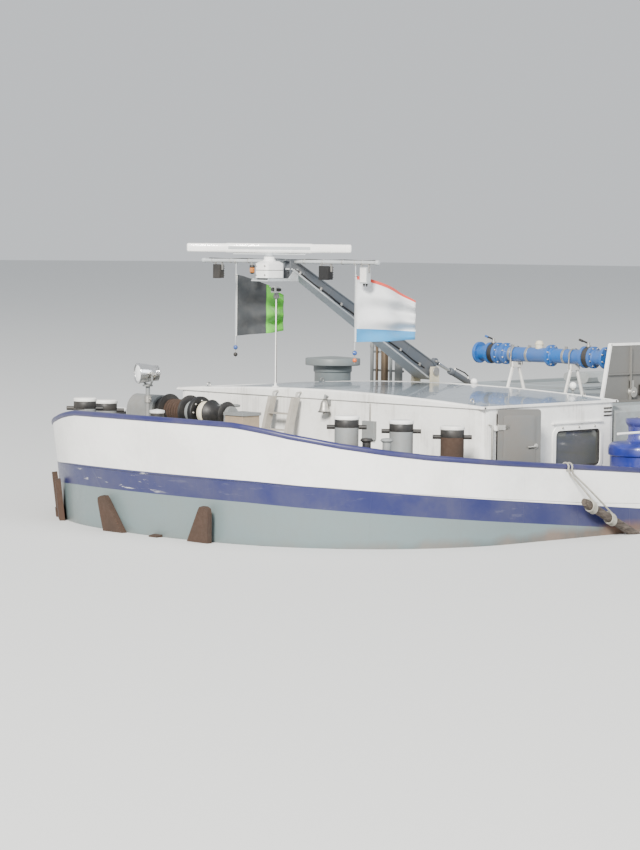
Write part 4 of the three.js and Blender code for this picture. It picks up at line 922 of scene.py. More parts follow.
for x in (3560, 3842):
    for y in (-300, 300):
        z = house_top + 3.2 + camber(y)
        roof.turned([(6, 0), (6, 0.8), (0, 0.9)], (x, y, z), roof_blue, sides=20)
        hoop(roof, (x, y, z + 4), 3.6, 1.1, bare_metal, "Y")
roof.make("deckhouse_roof", "ship", ["forward_roof"], bevel=0.5, smooth=30, slot="roof_paint")

# Port door of the deckhouse: steel leaf with a pressed panel, a lever handle and a seal on its
# back. It hangs on two hinge straps and stands ajar.
door_grey = paint("door_grey", (0.115, 0.12, 0.122), 0.45, 0.35, 0.25, 0.3)
door = Piece()
leaf_w, leaf_h = 74, 116
leaf = rounded_outline(-leaf_w, 0, 0, leaf_h, 5, 4)
door.rings([[(x, y, z) for x, z in leaf] for y in (-3, 0)], door_grey)
panel = rounded_outline(-leaf_w + 9, 9, -9, leaf_h - 9, 5, 4)
lower = rounded_outline(-leaf_w + 12, 12, -12, leaf_h - 12, 4, 4)
door.rings([[(x, y, z) for x, z in line] for line, y in ((panel, -0.1), (panel, 0.9), (lower, 1.6))],
           door_grey)
seal_line = [vec(x, -3.4, z) for x, z in rounded_outline(-leaf_w + 4, 4, -4, leaf_h - 4, 4, 4)]
door.tube(seal_line + seal_line[:2], 0.8, rubber_and_slot_shade, 6)
door.turned([(4.2, 0), (4.2, 1.4), (2, 1.6), (2, 4)], (-leaf_w + 9, 0, leaf_h * 0.5), bare_metal, (0, 1, 0),
            20)
door.tube([(-leaf_w + 9, 4, leaf_h * 0.5), (-leaf_w + 24, 4.6, leaf_h * 0.5 - 1)], 1.5, bare_metal, 10)
for z in (22, 86):
    door.box(-20, 0, z - 2, -0.5, 1.6, z + 6, bare_metal)
    door.tube([(0, 0, z - 3), (0, 0, z + 7)], 1.3, bare_metal, 10)
door_place = Matrix.Translation(vec(3838, 350.6, 81) * mm) @ Matrix.Rotation(math.radians(-25), 4, "Z")
door.make("deckhouse_door", "house_door", ["forward_door"], bevel=0.3, slot="grey_paint", place=door_place)

# Ladder: broad flat stringers with round-nosed treads in pale grey paint. It stands on rubber feet
# and leans on the roof's edge by two hooks. A ship's bell hangs beside it on a bracket; a black ring
# across its mouth is painted shade for the hollow inside.
ladder_grey = paint("ladder_grey", (0.40, 0.38, 0.34), 0.5, 0.4, 0.3, 0.3)
dress("ladder", ladder_grey, 0.9)
bell = Piece()
for y in (-99, -45):
    bell.tube([(3886, y, 197), (3884, y, 206), (3876, y, 207), (3871.5, y, 206.5)], 1.6, bare_metal, 8)
    bell.box(3912, y - 6, deck_height(3922) + 1, 3935, y + 6, deck_height(3922) + 4, rubber_and_slot_shade)
bell_at = vec(3882, 16, 178)
bell.box(house_fore - 0.3, 12, 188, house_fore + 2, 20, 206, grey_steel)
bell.tube([(house_fore + 1, 16, 202), (3880, 16, 205), (3882, 16, 199)], 1.6, grey_steel, 8)
bell.turned([(9.6, 0), (10, 0.8), (8.4, 3), (6.8, 8), (6.0, 14), (4.4, 18), (1.6, 20), (0, 20.4)], bell_at,
            bare_metal, sides=28)
# A black ring round the lip and across the mouth: painted shade for the hollow inside of the bell.
bell.turned([(10.2, 0), (10.2, 1.6)], bell_at - up(0.4), black_steel_and_bell_shade, sides=28)
bell.tube([(3882, 16, 198), (3882, 16, 177)], 0.8, black_steel_and_bell_shade, 6)
bell.turned([(0, 0), (2, 1.5), (2, 3), (0, 4.5)], (3882, 16, 173.5), bare_metal, sides=12)
bell.make("bell_and_ladder_hooks", "ship", bevel=0.0, slot="bare_steel")

# Mushroom vent on the starboard side deck: round steel trunk with a bolted foot flange and a dark
# clamp band, closed by a broad cowl that screws down.
vent_blue = paint("vent_grey", (0.15, 0.18, 0.19), 0.45, 0.35, 0.25, 0.3)
vent = Piece()
vent_at = vec(3430, -398, deck_height(3430) + 0.5)
vent.turned([(39, 0), (39, 6), (34.5, 8), (34, 10), (34, 176), (36, 178), (36, 188), (50.5, 189.4),
             (51.3, 190.4), (51.3, 201), (50.5, 202.4), (30, 204), (10, 205.6), (0, 206)], vent_at,
            vent_blue, sides=56)
bolts(vent, ring_of(vent_at + up(5.6), 36.8, 10, "Z"), (0, 0, 1), 1.8, 2.4)
vent.turned([(34, 0), (35.2, 0.6), (35.2, 5), (34, 5.6)], vent_at + up(150), black_steel_and_bell_shade, sides=48)
vent.make("mushroom_vent", "ship", ["vent_drum"], bevel=0.4, slot="grey_paint")

# Standpipes abaft the roof: vent and sounding pipes of different bores on one base plate, two of
# them bronze brown. Each is bolted down by a flange at its foot and has a collar and an open lip on
# top.
pipe_brown = paint("pipe_brown", (0.16, 0.115, 0.075), 0.4, 0.35, 0.3, 0.2, metal=0.5)
pipes = Piece()
base_z = 191
pipes.box(3486, -242, base_z - 0.6, 3514, -156, base_z + 2, grey_steel)
for y, r, top, coat in ((-233, 3.3, 276, grey_steel), (-221, 2.6, 277, pipe_brown),
                        (-202, 6.7, 283, pipe_brown), (-187, 2.8, 274, grey_steel),
                        (-168, 7.2, 279, grey_steel)):
    foot = vec(3500, y, base_z + 2)
    high = top - foot.z
    pipes.turned([(r + 4, 0), (r + 4, 2.5), (r, 2.8), (r, high - 8), (r + 0.8, high - 7.6),
                  (r + 0.8, high - 3), (r, high - 2.6), (r, high), (r - 1, high), (r - 1.2, high - 5),
                  (0, high - 5)], foot, coat, sides=28)
    bolts(pipes, ring_of(foot + up(2.5), r + 2.2, 6, "Z"), (0, 0, 1), 0.9, 1.6)
for z in (225, 258):
    pipes.box(3494, -238, z, 3495.4, -160, z + 4, grey_steel)
pipes.make("standpipe_row", "ship", ["standpipes"], bevel=0.2, slot="bare_steel")

# Radar mast: a steel box arm hinged between two cheeks abaft the deckhouse and raised by a
# hydraulic ram. The yard across its head carries two hanging flag staffs, floodlights and lamps.
dark_grey = paint("mast_grey", (0.085, 0.10, 0.12), 0.42, 0.25, 0.25, 0.22)
light_grey = paint("mast_light_grey", (0.42, 0.45, 0.47), 0.4, 0.3, 0.3, 0.2)
dress("mast_cheeks", cream, 0.9)
pivot, head = vec(3505, -100, 231), vec(3842.5, -100, 422.6)
lift_angle = math.radians(28.4)
axis = vec(math.cos(lift_angle), 0, math.sin(lift_angle))
normal = vec(-axis.z, 0, axis.x)


def at_mast(along, y, above):
    return pivot + axis * along + normal * above + vec(0, y, 0)


arm = Piece()
arm_sections = ((-14, 14, -8, 10), (6, 14.5, -13, 16), (150, 11.5, -10.5, 13.5), (391, 7.5, -6.5, 8.5))
for half_more, low, high, coat in ((0, 0, 0, dark_grey), (2.5, -2.5, None, light_grey),
                                   (1.5, None, 1.5, dark_grey)):
    rings = []
    for along, half, z0, z1 in arm_sections:
        bottom = z0 + low if low is not None else z1 - 1
        top = z1 + high if high is not None else z0 + 0.5
        rings.append([at_mast(along, side * (half + half_more), z)
                      for side, z in ((-1, bottom), (1, bottom), (1, top), (-1, top))])
    arm.rings(rings, coat)
for along, half in ((70, 13.6), (140, 12), (215, 10.6), (290, 9.6), (360, 8.6)):
    arm.rings([[at_mast(along + a, side * half, z) for side, z in ((-1, -8), (1, -8), (1, 11), (-1, 11))]
               for a in (-1.2, 1.2)], dark_grey)
arm.tube([pivot + vec(0, -24.5, 0), pivot + vec(0, 24.5, 0)], 5, bare_metal, 20)
for side in (-1, 1):
    arm.turned([(8, 0), (8, 1.6), (5, 1.8)], pivot + vec(0, side * 25.3, 0), bare_metal, (0, side, 0), 24)
arm.rings([[at_mast(a, y, z) for a, z in ((-18, 4), (6, 4), (6, 20), (-8, 24), (-19, 24))]
           for y in (-3.8, 3.8)], dark_grey)
arm.tube([at_mast(-14, -3.9, 26), at_mast(-14, 3.9, 26)], 6, dark_grey, 24)
arm.tube([at_mast(-14, -6.4, 26), at_mast(-14, 6.4, 26)], 2.4, bare_metal, 16)
for side in (-1, 1):
    arm.tube([at_mast(a, side * (15.5 - a * 0.018), -4 + 0.6 * math.sin(a * 0.09))
              for a in range(20, 386, 14)], 1.2, black_steel_and_bell_shade, 8)
    for a in range(34, 384, 56):
        half = 16.4 - a * 0.018
        clip = ((-2, -6.4), (2, -6.4), (2, -1), (-2, -1))
        arm.rings([[at_mast(a + k, side * (half + w), z) for k, z in clip] for w in (-3.5, 0.9)], bare_metal)
arm.make("mast_arm", "radar_mast", ["mast"], bevel=0.35, slot="grey_paint")

# Yard: a light grey tube clamped on the arm's head, with end knobs, conduit clips and the shelf
# that carries the radar. All lamps hang from it on strap brackets.
yard = Piece()
y_low, y_high = head.y - 217, head.y + 195
yard.tube([(head.x, y_low, head.z), (head.x, y_high, head.z)], 3.2, light_grey, 16)
for y in (y_low, y_high - 5):
    yard.turned([(0, -1), (3.4, 0), (4.2, 1.5), (4.2, 6), (3.4, 7.5), (0, 8)], (head.x, y, head.z),
                light_grey, (0, 1, 0), 18)
yard.tube([(head.x - 2, y, head.z + 3.4 + 0.5 * math.sin(y * 0.08))
           for y in range(int(y_low) + 14, int(y_high), 14)], 0.9, black_steel_and_bell_shade, 6)
for y in range(int(y_low) + 26, int(y_high), 44):
    yard.tube([(head.x - 0.5, y - 1, head.z), (head.x - 0.5, y + 1, head.z)], 4.1, bare_metal, 12)
yard.box(head.x - 6, head.y - 30, head.z - 33, head.x + 66, head.y + 10, head.z - 30.5, light_grey)
for y in (head.y - 29, head.y + 7):
    yard.plate([(head.x - 6, head.z - 30.5), (head.x + 64, head.z - 30.5), (head.x + 64, head.z - 28.2),
                (head.x + 16, head.z - 28.2), (head.x + 2, head.z - 12), (head.x - 6, head.z - 12)], y,
               y + 2, light_grey)
for side in (-8, 6):
    yard.box(head.x - 6, head.y + side, head.z - 31, head.x + 12, head.y + side + 2, head.z + 1, dark_grey)
yard.box(head.x - 5.5, head.y - 7, head.z - 31, head.x - 3.5, head.y + 7, head.z + 4, dark_grey)
yard.make("mast_yard", "radar_mast", bevel=0.25, slot="grey_paint")

# Floodlights under the yard: black ribbed metal housings, hung on strap brackets. A junction box
# with its glands hangs near the port end, and an amber lamp hangs to starboard.
lamps = Piece()
for y, half, low in ((-176, 9, 30), (168, 9, 34), (80, 12, 29)):
    at = head.y + y
    junction_box = y == 168
    for side in (-1, 1):
        lamps.box(head.x - 1.6, at + side * half, head.z - 16, head.x + 2.4, at + side * (half - 1.4),
                  head.z + 2.6, bare_metal)
    # Each row: two X from the yard, inset of the sides, foot above the lowest point, top under the yard.
    rows = [(-1.6, 2.4, 0, low - 3.6, -2.4, bare_metal),
            (-4, 5.2, 1, 0, -7, light_grey if junction_box else black_steel_and_bell_shade)]
    if junction_box:
        rows.append((5, 5.9, 2.4, 2, -9, white_steel))
    else:
        rows += [(-6.5, -3.8, 2, 3.5 + 4 * k, 4.7 + 4 * k - low, black_steel_and_bell_shade) for k in range(5)]
        rows += [(5, 6.2, 0, -0.5, -6.4, black_steel_and_bell_shade), (6.1, 6.9, 1.3, 1, -7.8, black_steel_and_bell_shade),
                 (6.8, 7.1, 3.4, 3, -10, black_steel_and_bell_shade)]
    for x0, x1, inset, foot, top, coat in rows:
        lamps.box(head.x + x0, at - half + inset, head.z - low + foot, head.x + x1, at + half - inset,
                  head.z + top, coat)
    for k in (-3, 3) if junction_box else ():
        lamps.turned([(1.8, 0), (1.8, 3), (1, 3.2), (1, 5)], (head.x, at + k, head.z - low), black_steel_and_bell_shade,
                     (0, 0, -1), 12)
amber = paint("amber_lens", (0.75, 0.24, 0.02), 0.12, 0.1, 0.0, 0.0, coat=0.5)
amber_at = vec(head.x, head.y - 95, head.z - 21)
lamps.tube([(head.x, amber_at.y, head.z), (head.x, amber_at.y, head.z - 8)], 1.4, bare_metal, 8)
lamps.turned([(0, 14), (4, 14), (4.6, 12), (4.6, 10), (3.6, 9.6), (3.9, 1), (2.6, -0.6), (0, -1)], amber_at,
             black_steel_and_bell_shade, sides=20)
lamps.turned([(4.0, 9.4), (4.3, 8), (4.3, 2), (3.4, 0.6), (3.2, 0.6)], amber_at, amber, sides=20)
lamps.make("yard_lamps", "radar_mast", bevel=0.2, slot="black_paint")

# Flag staffs: thin steel rods that hang from the yard on shackles. Two painted signal balls hang on
# a short wire below each.
ball_blue = paint("ball_blue", (0.03, 0.09, 0.32), 0.3, 0.15, 0.0, 0.1, coat=0.3)
ball_orange = paint("ball_orange", (0.65, 0.12, 0.015), 0.3, 0.15, 0.0, 0.1, coat=0.3)
staffs = Piece()


def ball(radius, steps):
    """Profile of a ball, from its foot to its top."""
    return [(radius * math.sin(math.pi * k / steps), -radius * math.cos(math.pi * k / steps))
            for k in range(steps + 1)]


for y, lower in ((-134, black_steel_and_bell_shade), (146, ball_orange)):
    at = head.y + y
    staffs.tube([(head.x, at, head.z - 3), (head.x, at, head.z - 143)], 1.2, light_grey, 10)
    hoop(staffs, (head.x, at, head.z - 1), 3.6, 0.9, bare_metal, "Y")
    staffs.tube([(head.x, at, head.z - 142), (head.x, at, head.z - 165)], 0.7, bare_metal, 6)
    for level, radius, coat in ((148, 3.9, ball_blue), (160, 3.6, lower)):
        staffs.turned(ball(radius, 10), (head.x, at, head.z - level), coat, sides=20)
staffs.make("flag_staffs", "radar_mast", bevel=0.0, slot="grey_paint")

# Lifting ram: chromed steel rod in a painted barrel with a gland nut and a hose between its two
# stubs. The eyes at both ends turn on pins.
foot_eye, rod_eye = vec(3378, -100, 203), at_mast(-14, 0, 26)
along_ram = (rod_eye - foot_eye).normalized()
barrel = Piece()
barrel.turned([(0, 4), (5.2, 4.2), (5.5, 6), (5.5, 58), (6.2, 58.4), (6.2, 66), (5.2, 67.5), (3.4, 67.5),
               (3.4, 34), (0, 34)], foot_eye, dark_grey, along_ram, 28)
barrel.tube([foot_eye + vec(0, -5.4, 0), foot_eye + vec(0, 5.4, 0)], 6, dark_grey, 24)
barrel.tube([foot_eye + vec(0, -10, 0), foot_eye + vec(0, 10, 0)], 3.0, bare_metal, 18)
for reach in (14, 54):
    base = foot_eye + along_ram * reach
    barrel.turned([(2.2, 4.5), (2.2, 7.5), (1.4, 8), (1.4, 10)], base, bare_metal,
                  (-along_ram.z, 0, along_ram.x), 12)
barrel.tube([foot_eye + along_ram * 14 + vec(-4.2, 0, 9), foot_eye + along_ram * 30 + vec(-4.2, 3, 10),
             foot_eye + along_ram * 54 + vec(-4.2, 0, 9)], 1.2, black_steel_and_bell_shade, 8)
barrel.make("ram_barrel_shell", "ram_barrel", ["mast_ram_barrel"], bevel=0.2, slot="grey_paint")
ram_rod = Piece()
stroke = (rod_eye - foot_eye).length
ram_rod.turned([(0, 52), (2.6, 52), (3, 53), (3, stroke - 13), (4, stroke - 12.6), (4, stroke - 9),
                (0, stroke - 8.8)], foot_eye, chrome, along_ram, 28)
ram_rod.make("ram_rod_chromed", "ram_rod", ["mast_ram_rod"], bevel=0.15, slot="bare_steel")

# Radar: a cast turning unit with a cable gland, a cover seam and a round neck, on the yard's shelf.
# Above it turns a slotted scanner in white glass fibre, thicker at the middle, with joint bands.
gloss_white = paint("gloss_white", (0.88, 0.88, 0.87), 0.2, 0.12, 0.12, 0.05, coat=0.5)
unit = Piece()
unit_at = vec(head.x + 44, head.y - 10, head.z - 27.6)
for grow, z0, z1, coat in ((0, 0.2, 12.4, gloss_white), (-0.8, 12.4, 13.4, black_steel_and_bell_shade),
                           (0, 13.4, 24, gloss_white)):
    outline = rounded_outline(-22 - grow, -15 - grow, 20 + grow, 15 + grow, 6, 4)
    unit.rings([[unit_at + vec(x, y, z) for x, y in outline] for z in (z0, z1)], coat)
for shrink, z0, z1 in ((0, 24, 26), (2.5, 26, 28)):
    rings = [rounded_outline(-22 + k, -15 + k, 20 - k, 15 - k, 6, 4) for k in (shrink, shrink + 2.5)]
    unit.rings([[unit_at + vec(x, y, z) for x, y in line] for line, z in zip(rings, (z0, z1))], gloss_white)
unit.turned([(11, 27.5), (11, 30), (9, 31), (9, 35.4), (0, 35.4)], unit_at, gloss_white, sides=32)
bolts(unit, [unit_at + vec(20, y, z) for y in (-10, 10) for z in (5, 20)], (1, 0, 0), 1.4, 1.0)
unit.turned([(2.6, 0), (2.6, 4), (1.6, 4.4), (1.6, 8)], unit_at + vec(-22, 0, 6), black_steel_and_bell_shade, (-1, 0, 0),
            14)
unit.make("radar_turning_unit", "radar_mast", ["radar_unit"], bevel=0.3, slot="white_paint")
bar = Piece()
sweep = Matrix.Translation((unit_at + up(41.6)) * mm) @ Matrix.Rotation(math.radians(44), 4, "Z")


def bar_section(y, grow):
    line = ((-7.6, 3), (-7, 1), (-5.6, 0.2), (6.6, 0.2), (8.2, 1.6), (8.6, 4.4), (8.2, 12.6), (7.2, 14.8),
            (5.6, 15.8), (-4.4, 15.8), (-6.6, 15), (-7.6, 13))
    return [(x * grow, y, 8 + (z - 8) * grow) for x, z in line]


bar.rings([bar_section(y, grow) for y, grow in ((-136.6, 0.7), (-135, 0.9), (-72, 0.92), (-70, 1.0),
                                                (70, 1.0), (72, 0.92), (135, 0.9), (136.6, 0.7))],
          gloss_white)
for y in (-104, -36, 36, 104):
    grow = 1.03 if abs(y) < 70 else 0.94
    bar.rings([bar_section(y - 1.2, grow), bar_section(y + 1.2, grow)], gloss_white)
bar.box(8.2, -68, 5.4, 8.8, 68, 10.6, light_grey)
bar.box(-4, -60, -2.8, 5, 60, 0.5, light_grey)
bar.turned([(8, -4.6), (8, 0), (0, 0.4)], (0, 0, 0), light_grey, sides=28)
bar.make("scanner_bar", "scanner", ["radar_scanner"], bevel=0.2, slot="white_paint", place=sweep)

# Flags: woven polyester on the hanging staffs, tied at the hoist through a sewn tape. They fly aft
# and to port in the wind of the ship's way, so the fly end droops and the cloth folds.
def make_cloth(name, field, second, third, edges):
    """Cloth in up to three plain colours; edges are two shares of the fly or of the hoist."""
    material, shader = new_material(name)
    t = Tree(material.node_tree)
    sheet_place = t.add("TexCoord").outputs["UV"]
    axes = t.add("SeparateXYZ", {"Vector": sheet_place}).outputs
    along = axes["X"] if edges[0] == "fly" else axes["Y"]
    colour = t.mix(t.step(along, edges[1], edges[1] + 0.004), field, second)
    colour = t.mix(t.step(along, edges[2], edges[2] + 0.004), colour, third)
    threads, wefts = (t.add("TexWave", {"Vector": sheet_place, "Scale": 46.0, "Distortion": 0.2},
                            bands_direction=axis).outputs["Fac"] for axis in "XY")
    weave = t.math("ADD", threads, wefts)
    worn = t.noise(sheet_place, 5.0, 5)
    soiled = t.mix(t.step(worn, 0.45, 0.85, 0.0, 0.22), colour, (0.20, 0.19, 0.17, 1))
    frayed = t.mix(t.step(axes["X"], 0.965, 1.0, 0.0, 0.35), soiled, (0.10, 0.10, 0.10, 1))
    bump = t.add("Bump", {"Strength": 0.25, "Distance": 0.0002, "Height": weave})
    t.set(shader, "Base Color", frayed)
    t.set(shader, "Normal", bump.outputs["Normal"])
    shader.inputs["Roughness"].default_value = 0.8
    shader.inputs["Sheen Weight"].default_value = 0.3
    return material


def fold_height(squeeze, count, hoist):
    """Wave height that makes count folds take up the hoist's spare length."""
    low, high = 0.0, hoist / count
    for _ in range(30):
        middle = (low + high) / 2
        steps = [math.hypot(squeeze, math.tau * count * middle / hoist * math.cos(math.tau * count * k / 60))
                 for k in range(60)]
        low, high = (middle, high) if sum(steps) / 60 < 1 else (low, middle)
    return middle


def fly_flag(name, place, fly, hoist, droop, wave, turn, material):
    """Hangs a rectangle from its hoist at the place, keeping its cut size through waves and folds."""
    across, down = 46, 34
    verts, faces, uvs = [], [], []
    heading0 = math.radians(180 - turn)
    point = Vector((0, 0))
    for i in range(across + 1):
        share = i / across
        heading = heading0 + wave[0] * math.sin(math.tau * share * wave[1] + wave[2]) * min(1, share * 4)
        if i:
            point = point + Vector((math.cos(heading), math.sin(heading))) * (fly / across)
        side = vec(-math.sin(heading), math.cos(heading), 0)
        drop_top, drop_foot = droop[0] * share ** 1.4, droop[1] * share ** 1.2
        squeeze = (hoist - drop_top + drop_foot) / hoist
        height = fold_height(squeeze, 2.5, hoist) if squeeze < 0.995 else 0.0
        for j in range(down + 1):
            v = j / down
            fold = height * math.sin(math.tau * 2.5 * v + share * 2.2) * min(1, 6 * v, 6 * (1 - v) + 0.35)
            level = -drop_top - v * hoist * squeeze
            verts.append(place + vec(point.x, point.y, level) + side * fold)
            uvs.append((share, 1 - v))
    for i in range(across):
        for j in range(down):
            a = i * (down + 1) + j
            faces.append((a, a + 1, a + down + 2, a + down + 1))
    thing = mesh_object(name, [v * mm for v in verts], faces, [material])
    layer = thing.data.uv_layers.new(name="sheet")
    for polygon in thing.data.polygons:
        polygon.use_smooth = True
        for loop in polygon.loop_indices:
            layer.data[loop].uv = uvs[thing.data.loops[loop].vertex_index]
    return thing


green_flag = make_cloth("cloth_green", (0.035, 0.04, 0.045, 1), (0.11, 0.50, 0.035, 1),
                        (0.11, 0.50, 0.035, 1), ("fly", 0.58, 0.99))
white_flag = make_cloth("cloth_white", (0.03, 0.24, 0.50, 1), (0.66, 0.68, 0.70, 1), (0.60, 0.06, 0.04, 1),
                        ("hoist", 0.20, 0.945))
for name, y, below, fly, hoist, droop, wave, cloth in (
        ("starboard", -134, 24, 98, 104, (34, -8), (0.75, 1.5, 0.4), green_flag),
        ("port", 146, 22, 110, 108, (40, -4), (0.5, 1.3, 2.4), white_flag)):
    tie = vec(head.x - 2.2, head.y + y, head.z - below)
    flag = fly_flag(f"flag_{name}_cloth", tie, fly, hoist, droop, wave, 25, cloth)
    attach(flag, "radar_mast")
    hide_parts(f"flag_{name}")
    tape = Piece()
    tape.tube([tie + vec(1.0, 0, 1.5), tie + vec(1.0, 0, -hoist - 1.5)], 1.5, white_steel, 8)
    for z in (0, -hoist):
        hoop(tape, tie + vec(1.8, 0, z), 2.4, 0.5, bare_metal, "Z", 6, 16)
    tape.make(f"flag_{name}_hoist_tape", "radar_mast", bevel=0.0, slot="flag_cloth")

# Camera on a thin pole at the front edge of the roof: white weatherproof housing with a sunshade
# and a small lamp beside it. The pole's foot is bolted to the roof, and the cable runs up along the
# pole.
camera_post = Piece()
pole_at = vec(3857, -122, house_top + 4 + camber(-126))
camera_post.turned([(6, 0), (6, 1.4), (2.4, 2), (2.0, 8), (0, 8)], pole_at, gloss_white, sides=20)
bolts(camera_post, ring_of(pole_at + up(1.2), 4.4, 4, "Z", 0.8), (0, 0, 1), 0.7, 0.9)
camera_post.tube([pole_at, (3857, -122, 362)], 1.4, gloss_white, 12)
camera_post.tube([(3857, -120.2, pole_at.z + 6), (3857.5, -120, 300), (3857, -120.2, 360)], 0.6, black_steel_and_bell_shade,
                 6)
camera_post.turned([(3, 360), (5, 362), (5, 366), (3.6, 368), (3.6, 372), (0, 372)], (3857, -122, 0),
                   grey_steel, sides=20)
for y0, y1, x0, x1, z0, z1, coat in ((-127, -117, 3850, 3865, 370.5, 380, gloss_white),
                                     (-128, -116, 3849, 3868, 380, 381.2, gloss_white),
                                     (-125, -119, 3865, 3865.8, 372.4, 378.4, black_steel_and_bell_shade)):
    camera_post.box(x0, y0, z0, x1, y1, z1, coat)
camera_post.turned([(3.2, 0), (3.2, 1.6), (2.4, 1.8), (0, 1.4)], (3865.6, -122, 375.5), glass, (1, 0, 0), 20)
camera_post.turned([(0, 0), (2.6, 0), (2.8, 1), (2.8, 7), (2.2, 7.6), (0, 7)], (3855, -114.6, 375),
                   black_steel_and_bell_shade, (1, 0, 0), 18)
camera_post.make("roof_camera", "ship", ["camera_pole"], bevel=0.2, slot="white_paint")

# Transverse cargo manifold: a blue steel pipe with bolted flanges, two butterfly valves with hand
# levers, a domed relief valve, a drain cock and steel straps; it lies on two welded trestles.
pipe_blue = paint("pipe_blue", (0.006, 0.10, 0.36), 0.3, 0.22, 0.2, 0.28, coat=0.25,
                  under=(0.36, 0.34, 0.32))
manifold = Piece()
pipe_at = vec(3386, -78, 262)
manifold.turned([(0, 4), (12.6, 4), (12.8, 6), (12.8, 32), (12.8, 44), (12.8, 258), (12.8, 287), (0, 287)],
                pipe_at, pipe_blue, (0, 1, 0), 40)
neck_flange = [(12.8, -3), (14.4, -0.6), (19, 0), (19, 5.6), (14.4, 6.2), (12.8, 8)]
end_flange = [(0, 0), (18.6, 0), (19, 0.5), (19, 5.2), (18.6, 5.8), (0, 5.8)]


def on_pipe(x, along, z):
    return pipe_at + vec(x, along, z)


for at in (0, 26, 44, 62, 165, 240, 258, 285):
    manifold.turned(end_flange if at in (0, 285) else neck_flange, on_pipe(0, at, 0), pipe_blue, (0, 1, 0),
                    40)
for at, out in ((0, -1), (26, -1), (50, 1), (68, 1), (171, 1), (240, -1), (264, 1), (291, 1)):
    bolts(manifold, ring_of(on_pipe(0, at - 0.2 * out, 0), 16.2, 8, "Y", 0.39), (0, out, 0), 1.25, 2.0)
for at, grip_coat in ((32, pipe_blue), (246, rubber_and_slot_shade)):
    manifold.turned([(12.8, 0), (17.6, 0.3), (17.6, 11.6), (12.8, 12)], on_pipe(0, at, 0), black_steel_and_bell_shade,
                    (0, 1, 0), 40)
    spindle = on_pipe(0, at + 3, 12)
    manifold.turned([(3.4, 0), (3.4, 6), (5, 6.5), (5, 8.5), (2.2, 9), (2.2, 14)], spindle, bare_metal,
                    sides=18)
    grip = [spindle + Vector(d) for d in ((0, 0, 12), (-2, -8, 14), (-5, -17, 15.5), (-8, -26, 17.5))]
    manifold.tube(grip[:3], 1.6, black_steel_and_bell_shade, 10)
    manifold.tube(grip[2:], 2.1, grip_coat, 10)
for at in (79, 118, 200):
    manifold.rings([ring_of(on_pipe(0, at + w, 0), 13.4, 24) for w in (-2.5, 2.5)], bare_metal)
    manifold.box(*on_pipe(-1.5, at - 2.5, 13), *on_pipe(1.5, at + 2.5, 17), bare_metal)
manifold.turned([(7, 0), (7, 7), (8.2, 7.4), (8.2, 9.4), (6.8, 9.8), (6.2, 12.5), (4.2, 14.2), (0, 14.8)],
                on_pipe(0, 140, 11), cream, sides=28)
manifold.tube([on_pipe(0, 100, -12), on_pipe(0, 100, -19)], 2.2, bare_metal, 12)
manifold.tube([on_pipe(0, 100, -17), on_pipe(9, 100, -17)], 1, black_steel_and_bell_shade, 8)
manifold.tube([on_pipe(2, -0.5, 0), on_pipe(2, -4, 3), on_pipe(-2, -4, 3), on_pipe(-2, -0.5, 0)], 0.8,
              bare_metal, 8)
manifold.make("manifold_run", "ship", ["manifold_pipe"], bevel=0.15, slot="pipe_paint")

stand_white = paint("stand_white", (0.80, 0.79, 0.76), 0.45, 0.35, 0.5, 0.5, under=(0.18, 0.07, 0.03))
dress("manifold_stand", stand_white, 0.5)
saddles = Piece()
hoop_angles = [math.radians(a) for a in range(-12, 193, 12)]
for y in (9, 140):
    saddles.rings([[(pipe_at.x + 14.6 * math.cos(a), y + w, pipe_at.z + 14.6 * math.sin(a))
                    for a in hoop_angles] for w in (-2, 2)], bare_metal, closed=False)
    for side in (-1, 1):
        leg_x, foot_x = pipe_at.x + side * 14.4, pipe_at.x + side * 20
        saddles.tube([(leg_x, y, pipe_at.z - 3), (leg_x, y, pipe_at.z - 21)], 1.3, bare_metal, 10)
        saddles.box(foot_x - 6, y - 6, 193.5, foot_x + 6, y + 6, 195, stand_white)
saddles.make("manifold_saddles", "ship", bevel=0.15, slot="bare_steel")

# Splash screen beside the manifold: grey steel plate with a slanted front edge, stiffened by flat
# bars, edged in white, with a snatch block and a small valve box bolted on.
screen_grey = paint("screen_grey", (0.13, 0.13, 0.125), 0.5, 0.3, 0.3, 0.25)
dress("screen_plate", screen_grey, 0.4)
screen = Piece()
edge = [vec(3462.3, 0, 193), vec(3440.6, 0, 288.8), vec(3149, 0, 288.8)]
for a, b in zip(edge, edge[1:]):
    side = vec((b - a).z, 0, -(b - a).x).normalized()
    screen.rings([[p + side * w + vec(0, y, 0) for w, y in ((-3, 257), (1.2, 257), (1.2, 263), (-3, 263))]
                  for p in (a, b)], white_steel)
for x in range(3180, 3440, 52):
    for y in (262, 253):
        screen.box(x - 1, y, 192, x + 1, y + 5, 284, screen_grey)
screen.box(3152, 262, 236, 3448, 265, 238.5, screen_grey)
block_at = vec(3383, 262.2, 206)
screen.turned([(9, 0), (9, 1.2), (7, 1.6), (7, 5), (9, 5.4), (9, 6.6), (0, 6.8)], block_at, bare_metal,
              (0, 1, 0), 28)
bolts(screen, [block_at + vec(0, 6.6, 0)], (0, 1, 0), 2, 2)
screen.box(3377, 262, 206, 3389, 264, 226, bare_metal)
screen.box(3346, 262, 200, 3362, 268, 218, black_steel_and_bell_shade)
screen.make("screen_edging", "ship", bevel=0.2, slot="white_paint")

